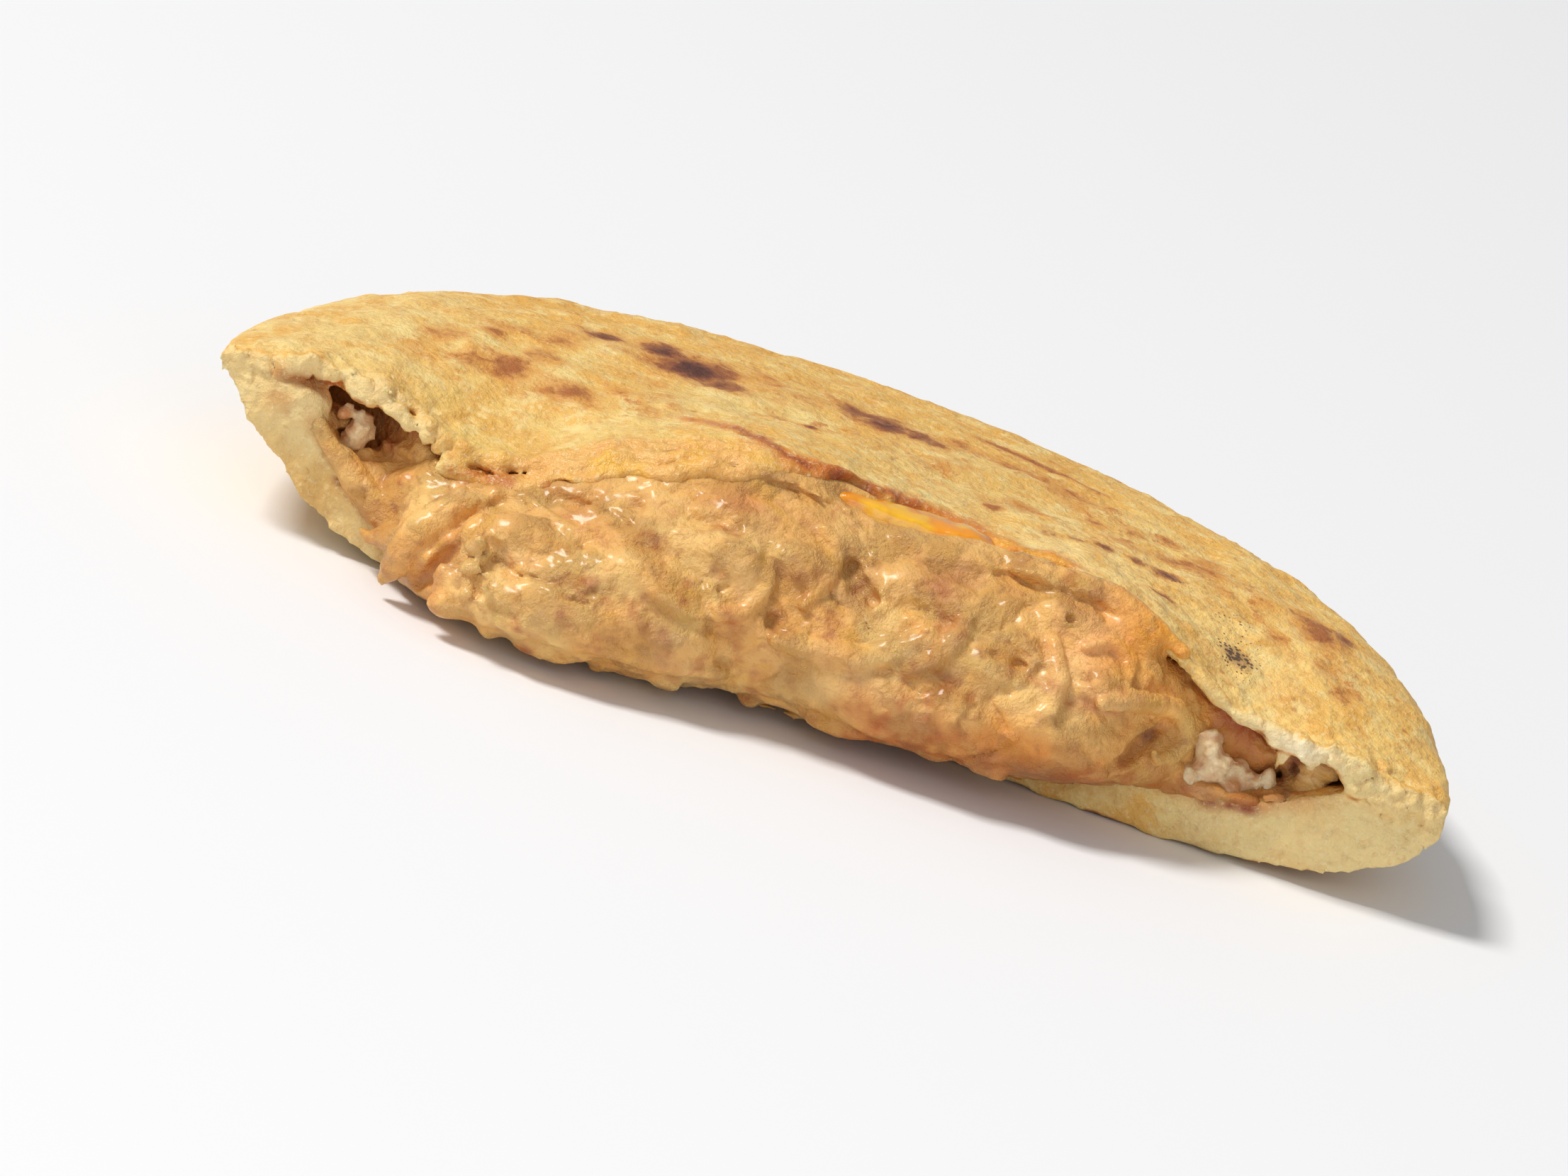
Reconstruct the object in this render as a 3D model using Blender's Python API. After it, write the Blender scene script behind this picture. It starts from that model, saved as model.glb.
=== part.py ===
"""Half of a pupusa, torn across the middle, lying flat with its filling showing.

The half is a round cake of corn dough, thick at the rim, that wraps a bean and cheese
filling. X runs along the torn side, the tear faces -Y, the round rim is at +Y and Z is up.
Two solids come out: "dough", the crust with its pocket, and "filling", which lies in the
pocket, bulges out of the middle of the tear and leaves a hollow at each end of it.

All sizes here are millimetres; the meshes are written in metres.
"""

import math

import bmesh
import bpy
import numpy as np
from mathutils import Vector, noise

MM = 0.001
NOTHING = 1e-6

# Driving dimensions of the whole round cake.
RADIUS = 65.9
TOP_HEIGHT = 20.0
TOP_ROUNDING = 6  # power of the top's fall towards the rim
BASE_ROUNDING = 6  # the same underneath, where the cake lies flat
FLAT_SHARE = 0.03  # of the base's rise that is pressed flat
RIM_HEIGHT = 11.3  # of the rim's widest line
RIM_CURL = 3.6  # how much higher that line is at the left end of the tear
CURL_X = (-64, -32)  # the curl fades between these places along the tear
CURL_Y = (0, 34)  # and between these places behind it
DOME_RISE = 1.5  # of the top over the filling
DOME_Y, DOME_WIDE, DOME_DEEP = 14, 32, 26

# The crust and its tear.
TOP_CRUST = 2.0
BASE_CRUST = 3.0
LEAST_BASE_CRUST = 2.0
RIM_DOUGH = 10.5  # solid dough between the filling and the rim
LIP_REACH = 13.0  # how far back from the tear the top crust bends to its lip
FLOOR_REACH = 14.0  # how far back the pocket's floor follows its height at the tear
RIM_HOLD = 16  # power that keeps the bend of the lip off the rim
POCKET_ROUNDING = 10  # power of the pocket's closing towards the rim
GAP = 0.3  # left between the two solids where the filling laps over the crust
POCKET_GAP = 0.5  # left between them inside the pocket
POCKET_MOUTH = -30.0  # how far in front of the tear the pocket's cutter starts

# The filling's front.
HANG_ALL = 3.0  # hang at which the filling laps right over the base crust
LOWEST = 0.6  # height at which it then ends over the ground
BULGE_SAG = 0.75  # below 1 the bulge is fullest under its middle height
BULGE_BLUNT = 0.6  # below 1 the bulge is blunter than half a wave

# Unevenness: grain size and depth.
PATTED = (9.0, 0.5)
PATTED_FINE = (3.5, 0.3)
TORN = (2.6, 0.9)
LUMPY = (8.0, 1.2)
LUMPY_FINE = (3.5, 0.6)
FADE_AT_ENDS = (6, 20)  # all of it grows in between these depths of the half
FADE_AT_BASE = (0, 4)  # and the dough's between these heights, so that its base stays flat
BULGE_AT_ENDS = (3, 14)  # the bulge grows in between these depths
MOUTH_AT_ENDS = (0, 12)  # and so does the mouth of the pocket's cutter

# The disc's centre, set so that the half's box stands over the origin.
CENTRE = Vector((-0.1, -22.25, 0.0)) * MM

# Profiles along the tear: (place along X, value).
TOP_LIP_HEIGHT = [
    (-65, 14.5), (-58, 17.8), (-48, 18), (-40, 15.6), (-34, 16), (-26, 19.6),
    (-12, 24), (8, 22.2), (27, 22.6), (36, 19), (42, 15.6), (54, 14.8), (65, 10.5),
]
TOP_LIP_PLACE = [(-65, 0), (-52, -1), (-40, -2.5), (-20, 2.5), (0, 4), (20, 2), (40, -2), (65, 0)]
BASE_LIP_PLACE = [(-65, 0), (-45, -1.5), (-20, 0), (10, 0), (40, -1), (54, -0.5), (65, 0)]
FLOOR_HEIGHT = [
    (-57, 13.5), (-53, 12), (-49, 8), (-43, 5), (-20, 3), (20, 3), (37, 6), (47, 7.5), (52, 9.5), (57, 11),
]
FRONT_BULGE = [
    (-56, 0), (-46, 0.5), (-41, 7), (-33, 11), (-22, 11.5), (-12, 9), (0, 7.5),
    (12, 9), (27, 8.5), (36, 5), (42, 0), (56, 0),
]
FRONT_RECESS = [(-56, 9), (-50, 7), (-44, 2.5), (-38, 0), (34, 0), (40, 2), (48, 6), (56, 8)]
FRONT_HANG = [(-56, 0), (-46, 0.5), (-40, 4), (-30, 5), (-15, 3), (-5, 1), (10, 1), (30, 1), (56, 0)]

# Lumps and folds of the filling's front: (x, z, half width, half height, reach forwards).
LUMPS = [
    (-43, 6, 3.5, 6, 3.0), (-33, 17, 7, 2.5, 1.8), (-15, 20, 11, 2.5, 2.0), (-17, 15, 12, 1.5, -2.2),
    (-30, 9, 5, 4, 2.2), (-14, 9, 7, 5, 2.0), (-3, 14, 5, 4, 1.8), (1.5, 17.5, 2.4, 2.2, -4.5),
    (9, 17, 5, 4, 2.0), (13, 9, 6, 3, 2.0), (22, 14, 5, 4, 1.8), (25, 8, 5, 2.5, -2.0), (31, 11, 4, 5, 2.4),
    (37, 9, 3, 3, 1.6),
]

# Meshes.
DOUGH_RINGS, DOUGH_TURNS = 60, 40
FILLING_RINGS, FILLING_TURNS = 66, 34
POLE_SQUEEZE = 0.95  # keeps the first sections off the ends' knife edges
FRONT_RUN, FILLING_TOP_RUN = 0.42, 0.3  # shares of a section's points
WALL_RUN, DOUGH_TOP_RUN = 0.2, 0.45


def through(knots, place):
    """The smooth curve through (place, value) knots."""
    at, value = np.array(knots, float).T
    slope = np.gradient(value, at)
    i = np.clip(np.searchsorted(at, place) - 1, 0, len(at) - 2)
    step = at[i + 1] - at[i]
    t = np.clip((place - at[i]) / step, 0, 1)
    return (
        (1 + 2 * t) * (1 - t) ** 2 * value[i]
        + t * (1 - t) ** 2 * step * slope[i]
        + t**2 * (3 - 2 * t) * value[i + 1]
        - t**2 * (1 - t) * step * slope[i + 1]
    )


def ease(low, high, value):
    """0 below low and 1 above high, with a smooth step between."""
    t = np.clip((value - low) / (high - low), 0, 1)
    return t * t * (3 - 2 * t)


def outline(angle):
    """Radius of the hand-patted outline at an angle round the disc's centre."""
    large = 0.5 * np.cos(2 * angle) - 1.1 * np.cos(4 * angle)
    large += 0.4 * np.sin(3 * angle + 0.3) - 0.2 * np.sin(2 * angle)
    small = 0.3 * np.sin(9 * angle + 1) + 0.2 * np.sin(17 * angle)
    return RADIUS + large + small * np.sin(angle)


def share_of_radius(x, y):
    """How far a point lies from the centre towards the outline: 0 to 1."""
    back = np.maximum(y, 0)
    return np.minimum(np.hypot(x, back) / outline(np.arctan2(back, x)), 1)


def left_end(x, y):
    """1 at the left end of the tear, where the half curls up, fading to 0."""
    return (1 - ease(*CURL_X, x)) * (1 - ease(*CURL_Y, y))


def rim_height(x, y):
    return RIM_HEIGHT + RIM_CURL * left_end(x, y)


def top_height(x, y):
    """Height of the top, which bends to the uneven lip along the tear."""
    u = share_of_radius(x, y)
    rim = rim_height(x, y)
    dome = DOME_RISE * np.exp(-((x / DOME_WIDE) ** 2) - ((y - DOME_Y) / DOME_DEEP) ** 2)
    regular = rim + (TOP_HEIGHT + dome - rim) * np.sqrt(1 - u**TOP_ROUNDING)
    behind = np.maximum(y - through(TOP_LIP_PLACE, x), 0) / LIP_REACH
    bend = np.exp(-(behind**2)) * (1 - u**RIM_HOLD)
    return regular + (through(TOP_LIP_HEIGHT, x) - regular) * bend


def base_height(x, y):
    """Height of the underside: flat, rounded up at the rim and more so at the left end."""
    u = share_of_radius(x, y)
    curl = left_end(x, y)
    rise = 1 - (1 - u ** (BASE_ROUNDING - 2 * curl)) ** (0.5 + 0.5 * curl)
    return rim_height(x, y) * np.maximum(rise - FLAT_SHARE, 0) / (1 - FLAT_SHARE)


def ceiling_height(x, y):
    """Top of the pocket, under the top crust."""
    return top_height(x, y) - TOP_CRUST


def floor_height(x, y):
    """Bottom of the pocket, over the base crust."""
    at_tear = through(FLOOR_HEIGHT, x)
    base = base_height(x, y)
    inside = base + BASE_CRUST
    floor = inside + (at_tear - inside) * (1 - ease(0, FLOOR_REACH, y))
    return np.maximum(floor, base + LEAST_BASE_CRUST)


def front_relief(x, z):
    """How far the lumps and folds reach forwards at a place on the filling's front."""
    relief = np.zeros_like(x)
    for at_x, at_z, wide, high, reach in LUMPS:
        relief += reach * np.exp(-(((x - at_x) / wide) ** 2) - ((z - at_z) / high) ** 2)
    return relief


def rough(points, unevenness):
    """Fractal unevenness of a grain size and depth at each point."""
    grain, depth = unevenness
    return np.array([depth * noise.fractal(Vector(p) / grain, 0.6, 2.1, 3) for p in points])


def section_grid(name, rings, around):
    """A closed body whose poles are the ends of the tear, with each point's angle and turn.

    The angle goes round the disc from the right pole to the left one; the turn runs from 0
    to 1 round the section that stands across the tear there, and is -1 at the poles.
    """
    mesh = bpy.data.meshes.new(name)
    shape = bmesh.new()
    bmesh.ops.create_uvsphere(shape, u_segments=around, v_segments=rings, radius=1)
    places = np.array([v.co for v in shape.verts])
    shape.to_mesh(mesh)
    shape.free()
    angle = math.pi / 2 + POLE_SQUEEZE * (np.arccos(np.clip(places[:, 2], -1, 1)) - math.pi / 2)
    turn = np.arctan2(places[:, 1], places[:, 0]) / (2 * math.pi) % 1
    turn[np.hypot(places[:, 0], places[:, 1]) < NOTHING] = -1
    return bpy.data.objects.new(name, mesh), angle, turn


def runs(turn, front, top):
    """Splits the turn into a front run, a top run and a base run.

    Returns which run each point is on, and how far along: up the front, and from the tear
    to the rim over the top and along the base. The poles lie half way up the front.
    """
    turn = np.where(turn < 0, front / 2, turn)
    on_front, on_top = turn < front, (turn >= front) & (turn < front + top)
    back = np.where(on_top, (turn - front) / top, (1 - turn) / (1 - front - top))
    return on_front, on_top, turn / front, np.sin(math.pi / 2 * np.clip(back, 0, 1))


def set_points(body, points):
    """Writes the body's points, and makes its faces triangles that point outwards."""
    body.data.vertices.foreach_set("co", np.ravel(points * MM).astype(np.float32))
    shape = bmesh.new()
    shape.from_mesh(body.data)
    bmesh.ops.triangulate(shape, faces=shape.faces)
    bmesh.ops.recalc_face_normals(shape, faces=shape.faces)
    shape.to_mesh(body.data)
    shape.free()
    body.data.update()


def push(body, distance):
    """Moves each point along the surface's normal."""
    count = len(body.data.vertices) * 3
    points, normals = np.empty(count), np.empty(count)
    body.data.vertices.foreach_get("co", points)
    body.data.vertices.foreach_get("normal", normals)
    moved = points.reshape(-1, 3) / MM + normals.reshape(-1, 3) * np.reshape(distance, (-1, 1))
    body.data.vertices.foreach_set("co", np.ravel(moved * MM).astype(np.float32))
    body.data.update()


def dough_body():
    """The whole half as solid dough, with a torn wall along -Y."""
    body, angle, turn = section_grid("dough", DOUGH_RINGS, DOUGH_TURNS)
    on_wall, on_top, up, along = runs(turn, WALL_RUN, DOUGH_TOP_RUN)
    x, back = outline(angle) * np.cos(angle), outline(angle) * np.sin(angle)
    lip_top = np.minimum(through(TOP_LIP_PLACE, x), back / 2)
    lip_base = np.minimum(through(BASE_LIP_PLACE, x), back / 2)
    lip = np.where(on_top, lip_top, lip_base)
    y = np.where(on_wall, lip_base + (lip_top - lip_base) * up, lip + (back - lip) * along)
    z_top, z_base = top_height(x, y), base_height(x, y)
    z = np.where(on_wall, z_base + (z_top - z_base) * up, np.where(on_top, z_top, z_base))
    points = np.stack([x, y, z], 1)
    set_points(body, points)
    uneven = rough(points, PATTED) + rough(points, PATTED_FINE)
    uneven += np.where(on_wall, rough(points, TORN), 0)
    push(body, uneven * ease(*FADE_AT_BASE, z) * ease(*FADE_AT_ENDS, back))
    return body


def wrapped_body(name, grow, front_of):
    """A body that fills the pocket, with a front edge given for its low and high side."""
    body, angle, turn = section_grid(name, FILLING_RINGS, FILLING_TURNS)
    on_front, on_top, up, along = runs(turn, FRONT_RUN, FILLING_TOP_RUN)
    reach = outline(angle) - RIM_DOUGH + grow
    x, back = reach * np.cos(angle), reach * np.sin(angle)
    y_low, y_high = front_of(x, back)
    edge = np.where(on_top, y_high, y_low)
    y = np.where(on_front, y_low + (y_high - y_low) * up, edge + (back - edge) * along)
    u = np.minimum(np.hypot(x, np.maximum(y, 0)) / reach, 1)
    ceiling, floor = ceiling_height(x, y) + grow, floor_height(x, y) - grow
    middle, half = (ceiling + floor) / 2, (ceiling - floor) / 2 * np.sqrt(1 - u**POCKET_ROUNDING)
    side = np.where(on_front, 2 * up - 1, np.where(on_top, 1, -1))
    return body, np.stack([x, y, middle + half * side], 1), (on_front, on_top, up, back, y_low)


def filling_body():
    """The filling: level with the pocket, bulging out of the tear in lumps."""

    def front_of(x, back):
        recess = through(FRONT_RECESS, x)
        low = np.minimum(through(BASE_LIP_PLACE, x) - through(FRONT_HANG, x) + recess, back / 2)
        return low, np.minimum(through(TOP_LIP_PLACE, x) + recess, back / 2)

    body, points, (on_front, on_top, up, back, y_low) = wrapped_body("filling", 0, front_of)
    x, y, z = points.T
    lap = np.clip(through(FRONT_HANG, x) / HANG_ALL, 0, 1)
    drop = np.where(on_front, 1 - up, np.where(on_top, 0, 1 - ease(0, HANG_ALL, y - y_low)))
    z = z - (through(FLOOR_HEIGHT, x) - LOWEST) * lap * drop
    arch = np.sin(math.pi * np.clip(up, 0, 1) ** BULGE_SAG) ** BULGE_BLUNT * ease(*BULGE_AT_ENDS, back)
    forwards = (np.maximum(through(FRONT_BULGE, x), 0) + front_relief(x, z)) * arch
    y = np.where(on_front, y - forwards, y)
    points = np.stack([x, y, z], 1)
    set_points(body, points)
    lumps = rough(points, LUMPY) + rough(points, LUMPY_FINE)
    push(body, np.where(on_front, lumps * 4 * up * (1 - up) * ease(*FADE_AT_ENDS, back), 0))
    return body


def pocket_body():
    """The cutter of the pocket, open at the tear all along the filling."""

    def front_of(x, back):
        mouth = POCKET_MOUTH * ease(*MOUTH_AT_ENDS, back)
        return mouth, mouth

    body, points, _ = wrapped_body("pocket", POCKET_GAP, front_of)
    set_points(body, points)
    return body


def clearance_body(filling):
    """The cutter that keeps the gap to the filling where it laps over the crust."""
    body = filling.copy()
    body.data = filling.data.copy()
    body.name = "clearance"
    push(body, np.full(len(body.data.vertices), GAP))
    return body


def cut_away(body, cutter):
    cut = body.modifiers.new(cutter.name, "BOOLEAN")
    cut.object = cutter
    cut.operation = "DIFFERENCE"
    cut.solver = "EXACT"
    cutter.hide_render = True
    cutter.display_type = "WIRE"


def matter(name, colour, roughness):
    """A Principled material."""
    material = bpy.data.materials.new(name)
    material.use_nodes = True
    shader = material.node_tree.nodes["Principled BSDF"]
    shader.inputs["Base Color"].default_value = (*colour, 1)
    shader.inputs["Roughness"].default_value = roughness
    shader.inputs["Metallic"].default_value = 0
    return material


def collection(name):
    group = bpy.data.collections.new(name)
    bpy.context.scene.collection.children.link(group)
    return group


def main():
    for old in list(bpy.data.objects):
        bpy.data.objects.remove(old)
    pupusa, cutters = collection("pupusa"), collection("cutters")
    dough, filling, pocket = dough_body(), filling_body(), pocket_body()
    clearance = clearance_body(filling)
    dough.data.materials.append(matter("corn_dough", (0.80, 0.64, 0.32), 0.55))
    filling.data.materials.append(matter("bean_and_cheese", (0.66, 0.36, 0.18), 0.35))
    for body in (dough, filling):
        pupusa.objects.link(body)
    for cutter in (pocket, clearance):
        cutters.objects.link(cutter)
        cut_away(dough, cutter)
    for body in (dough, filling, pocket, clearance):
        body.location = CENTRE
        body.data.shade_smooth()


main()
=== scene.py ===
"""Looks of the torn half of a pupusa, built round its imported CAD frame.

The half lies flat: X runs along the torn side, the tear faces -Y, the round rim is at +Y.
The dough and the filling are finer meshes of the same forms as the CAD solids: each form
is a field of distances on a grid, from which a mesh is taken. Sizes are millimetres until
a mesh is written, and places are measured from the middle of the whole round cake.
"""

import math
from itertools import product

import bpy
import numpy as np
from mathutils import Matrix, Vector


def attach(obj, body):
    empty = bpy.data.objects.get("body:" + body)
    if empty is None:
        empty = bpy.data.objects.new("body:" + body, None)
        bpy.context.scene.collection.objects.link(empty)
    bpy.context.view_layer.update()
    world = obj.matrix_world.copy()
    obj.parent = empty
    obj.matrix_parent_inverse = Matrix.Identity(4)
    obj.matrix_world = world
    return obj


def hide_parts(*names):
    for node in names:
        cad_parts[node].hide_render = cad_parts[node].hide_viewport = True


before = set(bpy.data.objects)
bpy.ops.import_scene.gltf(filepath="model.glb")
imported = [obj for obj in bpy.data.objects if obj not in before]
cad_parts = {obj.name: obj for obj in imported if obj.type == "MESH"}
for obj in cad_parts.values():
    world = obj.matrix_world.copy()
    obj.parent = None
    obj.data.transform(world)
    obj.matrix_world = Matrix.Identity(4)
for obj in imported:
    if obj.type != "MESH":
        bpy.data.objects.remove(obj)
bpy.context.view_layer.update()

MM = 0.001
CENTRE = np.array([-0.1, -22.25, 0.0])  # the middle of the whole cake in the CAD's frame

# Driving dimensions of the whole round cake, as in the CAD.
RADIUS = 65.9
TOP_HEIGHT = 20.0
TOP_ROUNDING = 6
BASE_ROUNDING = 6
FLAT_SHARE = 0.03
RIM_HEIGHT = 11.3
RIM_CURL = 3.6
CURL_X = (-64, -32)
CURL_Y = (0, 34)
DOME_RISE = 1.5
DOME_Y, DOME_WIDE, DOME_DEEP = 14, 32, 26
TOP_CRUST = 2.0
BASE_CRUST = 3.0
LEAST_BASE_CRUST = 2.0
RIM_DOUGH = 10.5
LIP_REACH = 13.0
FLOOR_REACH = 14.0
RIM_HOLD = 16
POCKET_ROUNDING = 10
POCKET_GAP = 0.5
HANG_ALL = 3.0
LOWEST = 0.6
BULGE_SAG = 0.75
BULGE_BLUNT = 0.6
FADE_AT_ENDS = (6, 20)
BULGE_AT_ENDS = (3, 14)

# Profiles along the tear: (place along X, value).
TOP_LIP_HEIGHT = [
    (-65, 14.5), (-58, 17.8), (-48, 18), (-40, 15.6), (-34, 16), (-26, 19.6), (-12, 24), (8, 22.2),
    (27, 22.6), (36, 19), (42, 15.6), (54, 14.8), (65, 10.5),
]
TOP_LIP_PLACE = [(-65, 0), (-52, -1), (-40, -2.5), (-20, 2.5), (0, 4), (20, 2), (40, -2), (65, 0)]
BASE_LIP_PLACE = [(-65, 0), (-45, -1.5), (-20, 0), (10, 0), (40, -1), (54, -0.5), (65, 0)]
FLOOR_HEIGHT = [
    (-57, 13.5), (-53, 12), (-49, 8), (-43, 5), (-20, 3), (20, 3), (37, 6), (47, 7.5), (52, 9.5),
    (57, 11),
]
FRONT_BULGE = [
    (-56, 0), (-46, 0.5), (-41, 7), (-33, 11), (-22, 11.5), (-12, 9), (0, 7.5), (12, 9), (27, 8.5),
    (36, 5), (42, 0), (56, 0),
]
FRONT_RECESS = [(-56, 9), (-50, 7), (-44, 2.5), (-38, 0), (34, 0), (40, 2), (48, 6), (56, 8)]
FRONT_HANG = [(-56, 0), (-46, 0.5), (-40, 4), (-30, 5), (-15, 3), (-5, 1), (10, 1), (30, 1), (56, 0)]

# Grids: the front, where the tear shows, is finer than the back.
FINE = 0.42
FRONT_END, BACK_END = 8.0, 69.0
FILLING_STEP = 0.36
CHEESE_STEP = 0.3
FAR = 4.0  # distances beyond this count as this
BAND = 2.5  # fields are worked out in detail this close to their surface
WIDE_BAND = 3.2  # and this close where folds move it further
DOUGH_TRIANGLES, FILLING_TRIANGLES = 196000, 150000  # the most that each mesh keeps


# --------------------------------------------------------------------------- the forms


def through(knots, place):
    """The smooth curve through (place, value) knots."""
    at, value = np.array(knots, float).T
    slope = np.gradient(value, at)
    i = np.clip(np.searchsorted(at, place) - 1, 0, len(at) - 2)
    step = at[i + 1] - at[i]
    t = np.clip((place - at[i]) / step, 0, 1)
    return (
        (1 + 2 * t) * (1 - t) ** 2 * value[i]
        + t * (1 - t) ** 2 * step * slope[i]
        + t**2 * (3 - 2 * t) * value[i + 1]
        - t**2 * (1 - t) * step * slope[i + 1]
    )


def ease(low, high, value):
    """0 below low and 1 above high, with a smooth step between."""
    t = np.clip((value - low) / (high - low), 0, 1)
    return t * t * (3 - 2 * t)


def outline(angle):
    """Radius of the hand-patted outline at an angle round the disc's centre."""
    large = 0.5 * np.cos(2 * angle) - 1.1 * np.cos(4 * angle)
    large += 0.4 * np.sin(3 * angle + 0.3) - 0.2 * np.sin(2 * angle)
    small = 0.3 * np.sin(9 * angle + 1) + 0.2 * np.sin(17 * angle)
    return RADIUS + large + small * np.sin(angle)


def outline_at(x, y):
    back = np.maximum(y, 0)
    return outline(np.arctan2(back, x))


def share_of_radius(x, y):
    """How far a point lies from the centre towards the outline, above 1 outside it."""
    return np.hypot(x, np.maximum(y, 0)) / outline_at(x, y)


def half_depth(x):
    """How deep the half is behind the tear at a place along it."""
    end = outline(np.where(x < 0, math.pi, 0.0))
    return np.sqrt(np.maximum(end**2 - x**2, 0))


def left_end(x, y):
    """1 at the left end of the tear, where the half curls up, fading to 0."""
    return (1 - ease(*CURL_X, x)) * (1 - ease(*CURL_Y, y))


def rim_height(x, y):
    return RIM_HEIGHT + RIM_CURL * left_end(x, y)


def top_height(x, y):
    """Height of the top, which bends to the uneven lip along the tear."""
    u = np.minimum(share_of_radius(x, y), 0.995)
    rim = rim_height(x, y)
    dome = DOME_RISE * np.exp(-((x / DOME_WIDE) ** 2) - ((y - DOME_Y) / DOME_DEEP) ** 2)
    regular = rim + (TOP_HEIGHT + dome - rim) * np.sqrt(1 - u**TOP_ROUNDING)
    behind = np.maximum(y - through(TOP_LIP_PLACE, x), 0) / LIP_REACH
    bend = np.exp(-(behind**2)) * (1 - u**RIM_HOLD)
    return regular + (through(TOP_LIP_HEIGHT, x) - regular) * bend


def base_height(x, y):
    """Height of the underside: flat, rounded up at the rim and more so at the left end."""
    u = np.minimum(share_of_radius(x, y), 1)
    curl = left_end(x, y)
    rise = 1 - (1 - u ** (BASE_ROUNDING - 2 * curl)) ** (0.5 + 0.5 * curl)
    return rim_height(x, y) * np.maximum(rise - FLAT_SHARE, 0) / (1 - FLAT_SHARE)


def floor_height(x, y):
    """Bottom of the pocket, over the base crust."""
    at_tear = through(FLOOR_HEIGHT, x)
    base = base_height(x, y)
    inside = base + BASE_CRUST
    floor = inside + (at_tear - inside) * (1 - ease(0, FLOOR_REACH, y))
    return np.maximum(floor, base + LEAST_BASE_CRUST)


def tear_place(x, z):
    """Where the torn wall of dough stands, at a place along it and a height."""
    half = half_depth(x) / 2
    low = np.minimum(through(BASE_LIP_PLACE, x), half)
    high = np.minimum(through(TOP_LIP_PLACE, x), half)
    z_low, z_high = base_height(x, 0 * x), top_height(x, 0 * x)
    return low + (high - low) * np.clip((z - z_low) / (z_high - z_low), 0, 1)


def front_place(x, z):
    """Where the filling's front stands, bulging out of the tear, before its lumps."""
    half = half_depth(x)
    recess = through(FRONT_RECESS, x)
    low = np.minimum(through(BASE_LIP_PLACE, x) - through(FRONT_HANG, x) + recess, half / 2)
    high = np.minimum(through(TOP_LIP_PLACE, x) + recess, half / 2)
    bottom = lobe_bottom(x)
    ceiling = top_height(x, high) - TOP_CRUST
    up = np.clip((z - bottom) / np.maximum(ceiling - bottom, 1), 0, 1)
    arch = np.sin(math.pi * up**BULGE_SAG) ** BULGE_BLUNT * ease(*BULGE_AT_ENDS, half)
    return low + (high - low) * up - np.maximum(through(FRONT_BULGE, x), 0) * arch


def lobe_bottom(x):
    """How low the filling's front hangs over the base crust."""
    lap = np.clip(through(FRONT_HANG, x) / HANG_ALL, 0, 1)
    floor = through(FLOOR_HEIGHT, x)
    return floor - (floor - LOWEST) * lap


# --------------------------------------------------------------------------- chance


def chance(i, j, k, seed):
    """A repeatable number from 0 to 1 at a whole-number place."""
    h = (i * 374761393 + j * 668265263 + k * 1442695041 + seed * 97531) & 0xFFFFFFFF
    h = ((h ^ (h >> 13)) * 1274126177) & 0xFFFFFFFF
    h = ((h ^ (h >> 15)) * 2246822519) & 0xFFFFFFFF
    return ((h ^ (h >> 16)) & 0xFFFFFF) / 0xFFFFFF


def waves(points, seed):
    """Smooth gradient noise, about -1 to 1, with a wave of about 1 across."""
    cell = np.floor(points).astype(np.int64)
    at = points - cell
    fade = at * at * at * (at * (at * 6 - 15) + 10)
    total = np.zeros(len(points))
    for corner in product((0, 1), repeat=3):
        place, away = (cell + corner).T, (at - corner).T
        turn = chance(*place, seed) * 2 * math.pi
        lift = chance(*place, seed + 7) * 2 - 1
        flat = np.sqrt(1 - lift**2)
        slope = flat * (np.cos(turn) * away[0] + np.sin(turn) * away[1]) + lift * away[2]
        total += slope * np.abs(1 - np.array(corner) - fade).prod(1)
    return total * 1.6


def rough(points, grain, seed, octaves=3, gain=0.55):
    """Fractal noise of a grain size in millimetres."""
    total = np.zeros(len(points))
    size = 1.0
    for octave in range(octaves):
        total += size * waves(points / grain + 17.3 * octave, seed + octave)
        size *= gain
        grain /= 2.1
    return total


def warped(points, grain, seed):
    """A shift of each point in three directions, which bends the pattern laid over it."""
    return np.stack([rough(points, grain, seed + more, 2) for more in (0, 10, 20)], 1)


def grains(points, size, seed):
    """Distance to the nearest of scattered grain middles, in grain sizes, and that grain's own number."""
    places = points / size
    cell = np.floor(places).astype(np.int64)
    nearest = np.full(len(points), 9.0)
    own = np.zeros(len(points))
    for step in product((-1, 0, 1), repeat=3):
        near = (cell + step).T
        gaps = (near[k] + 0.15 + 0.7 * chance(*near, seed + k) - places[:, k] for k in range(3))
        away = sum(gap**2 for gap in gaps)
        closer = away < nearest
        nearest = np.where(closer, away, nearest)
        own = np.where(closer, chance(*near, seed + 3), own)
    return np.sqrt(nearest), own


# --------------------------------------------------------------------------- fields


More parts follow.
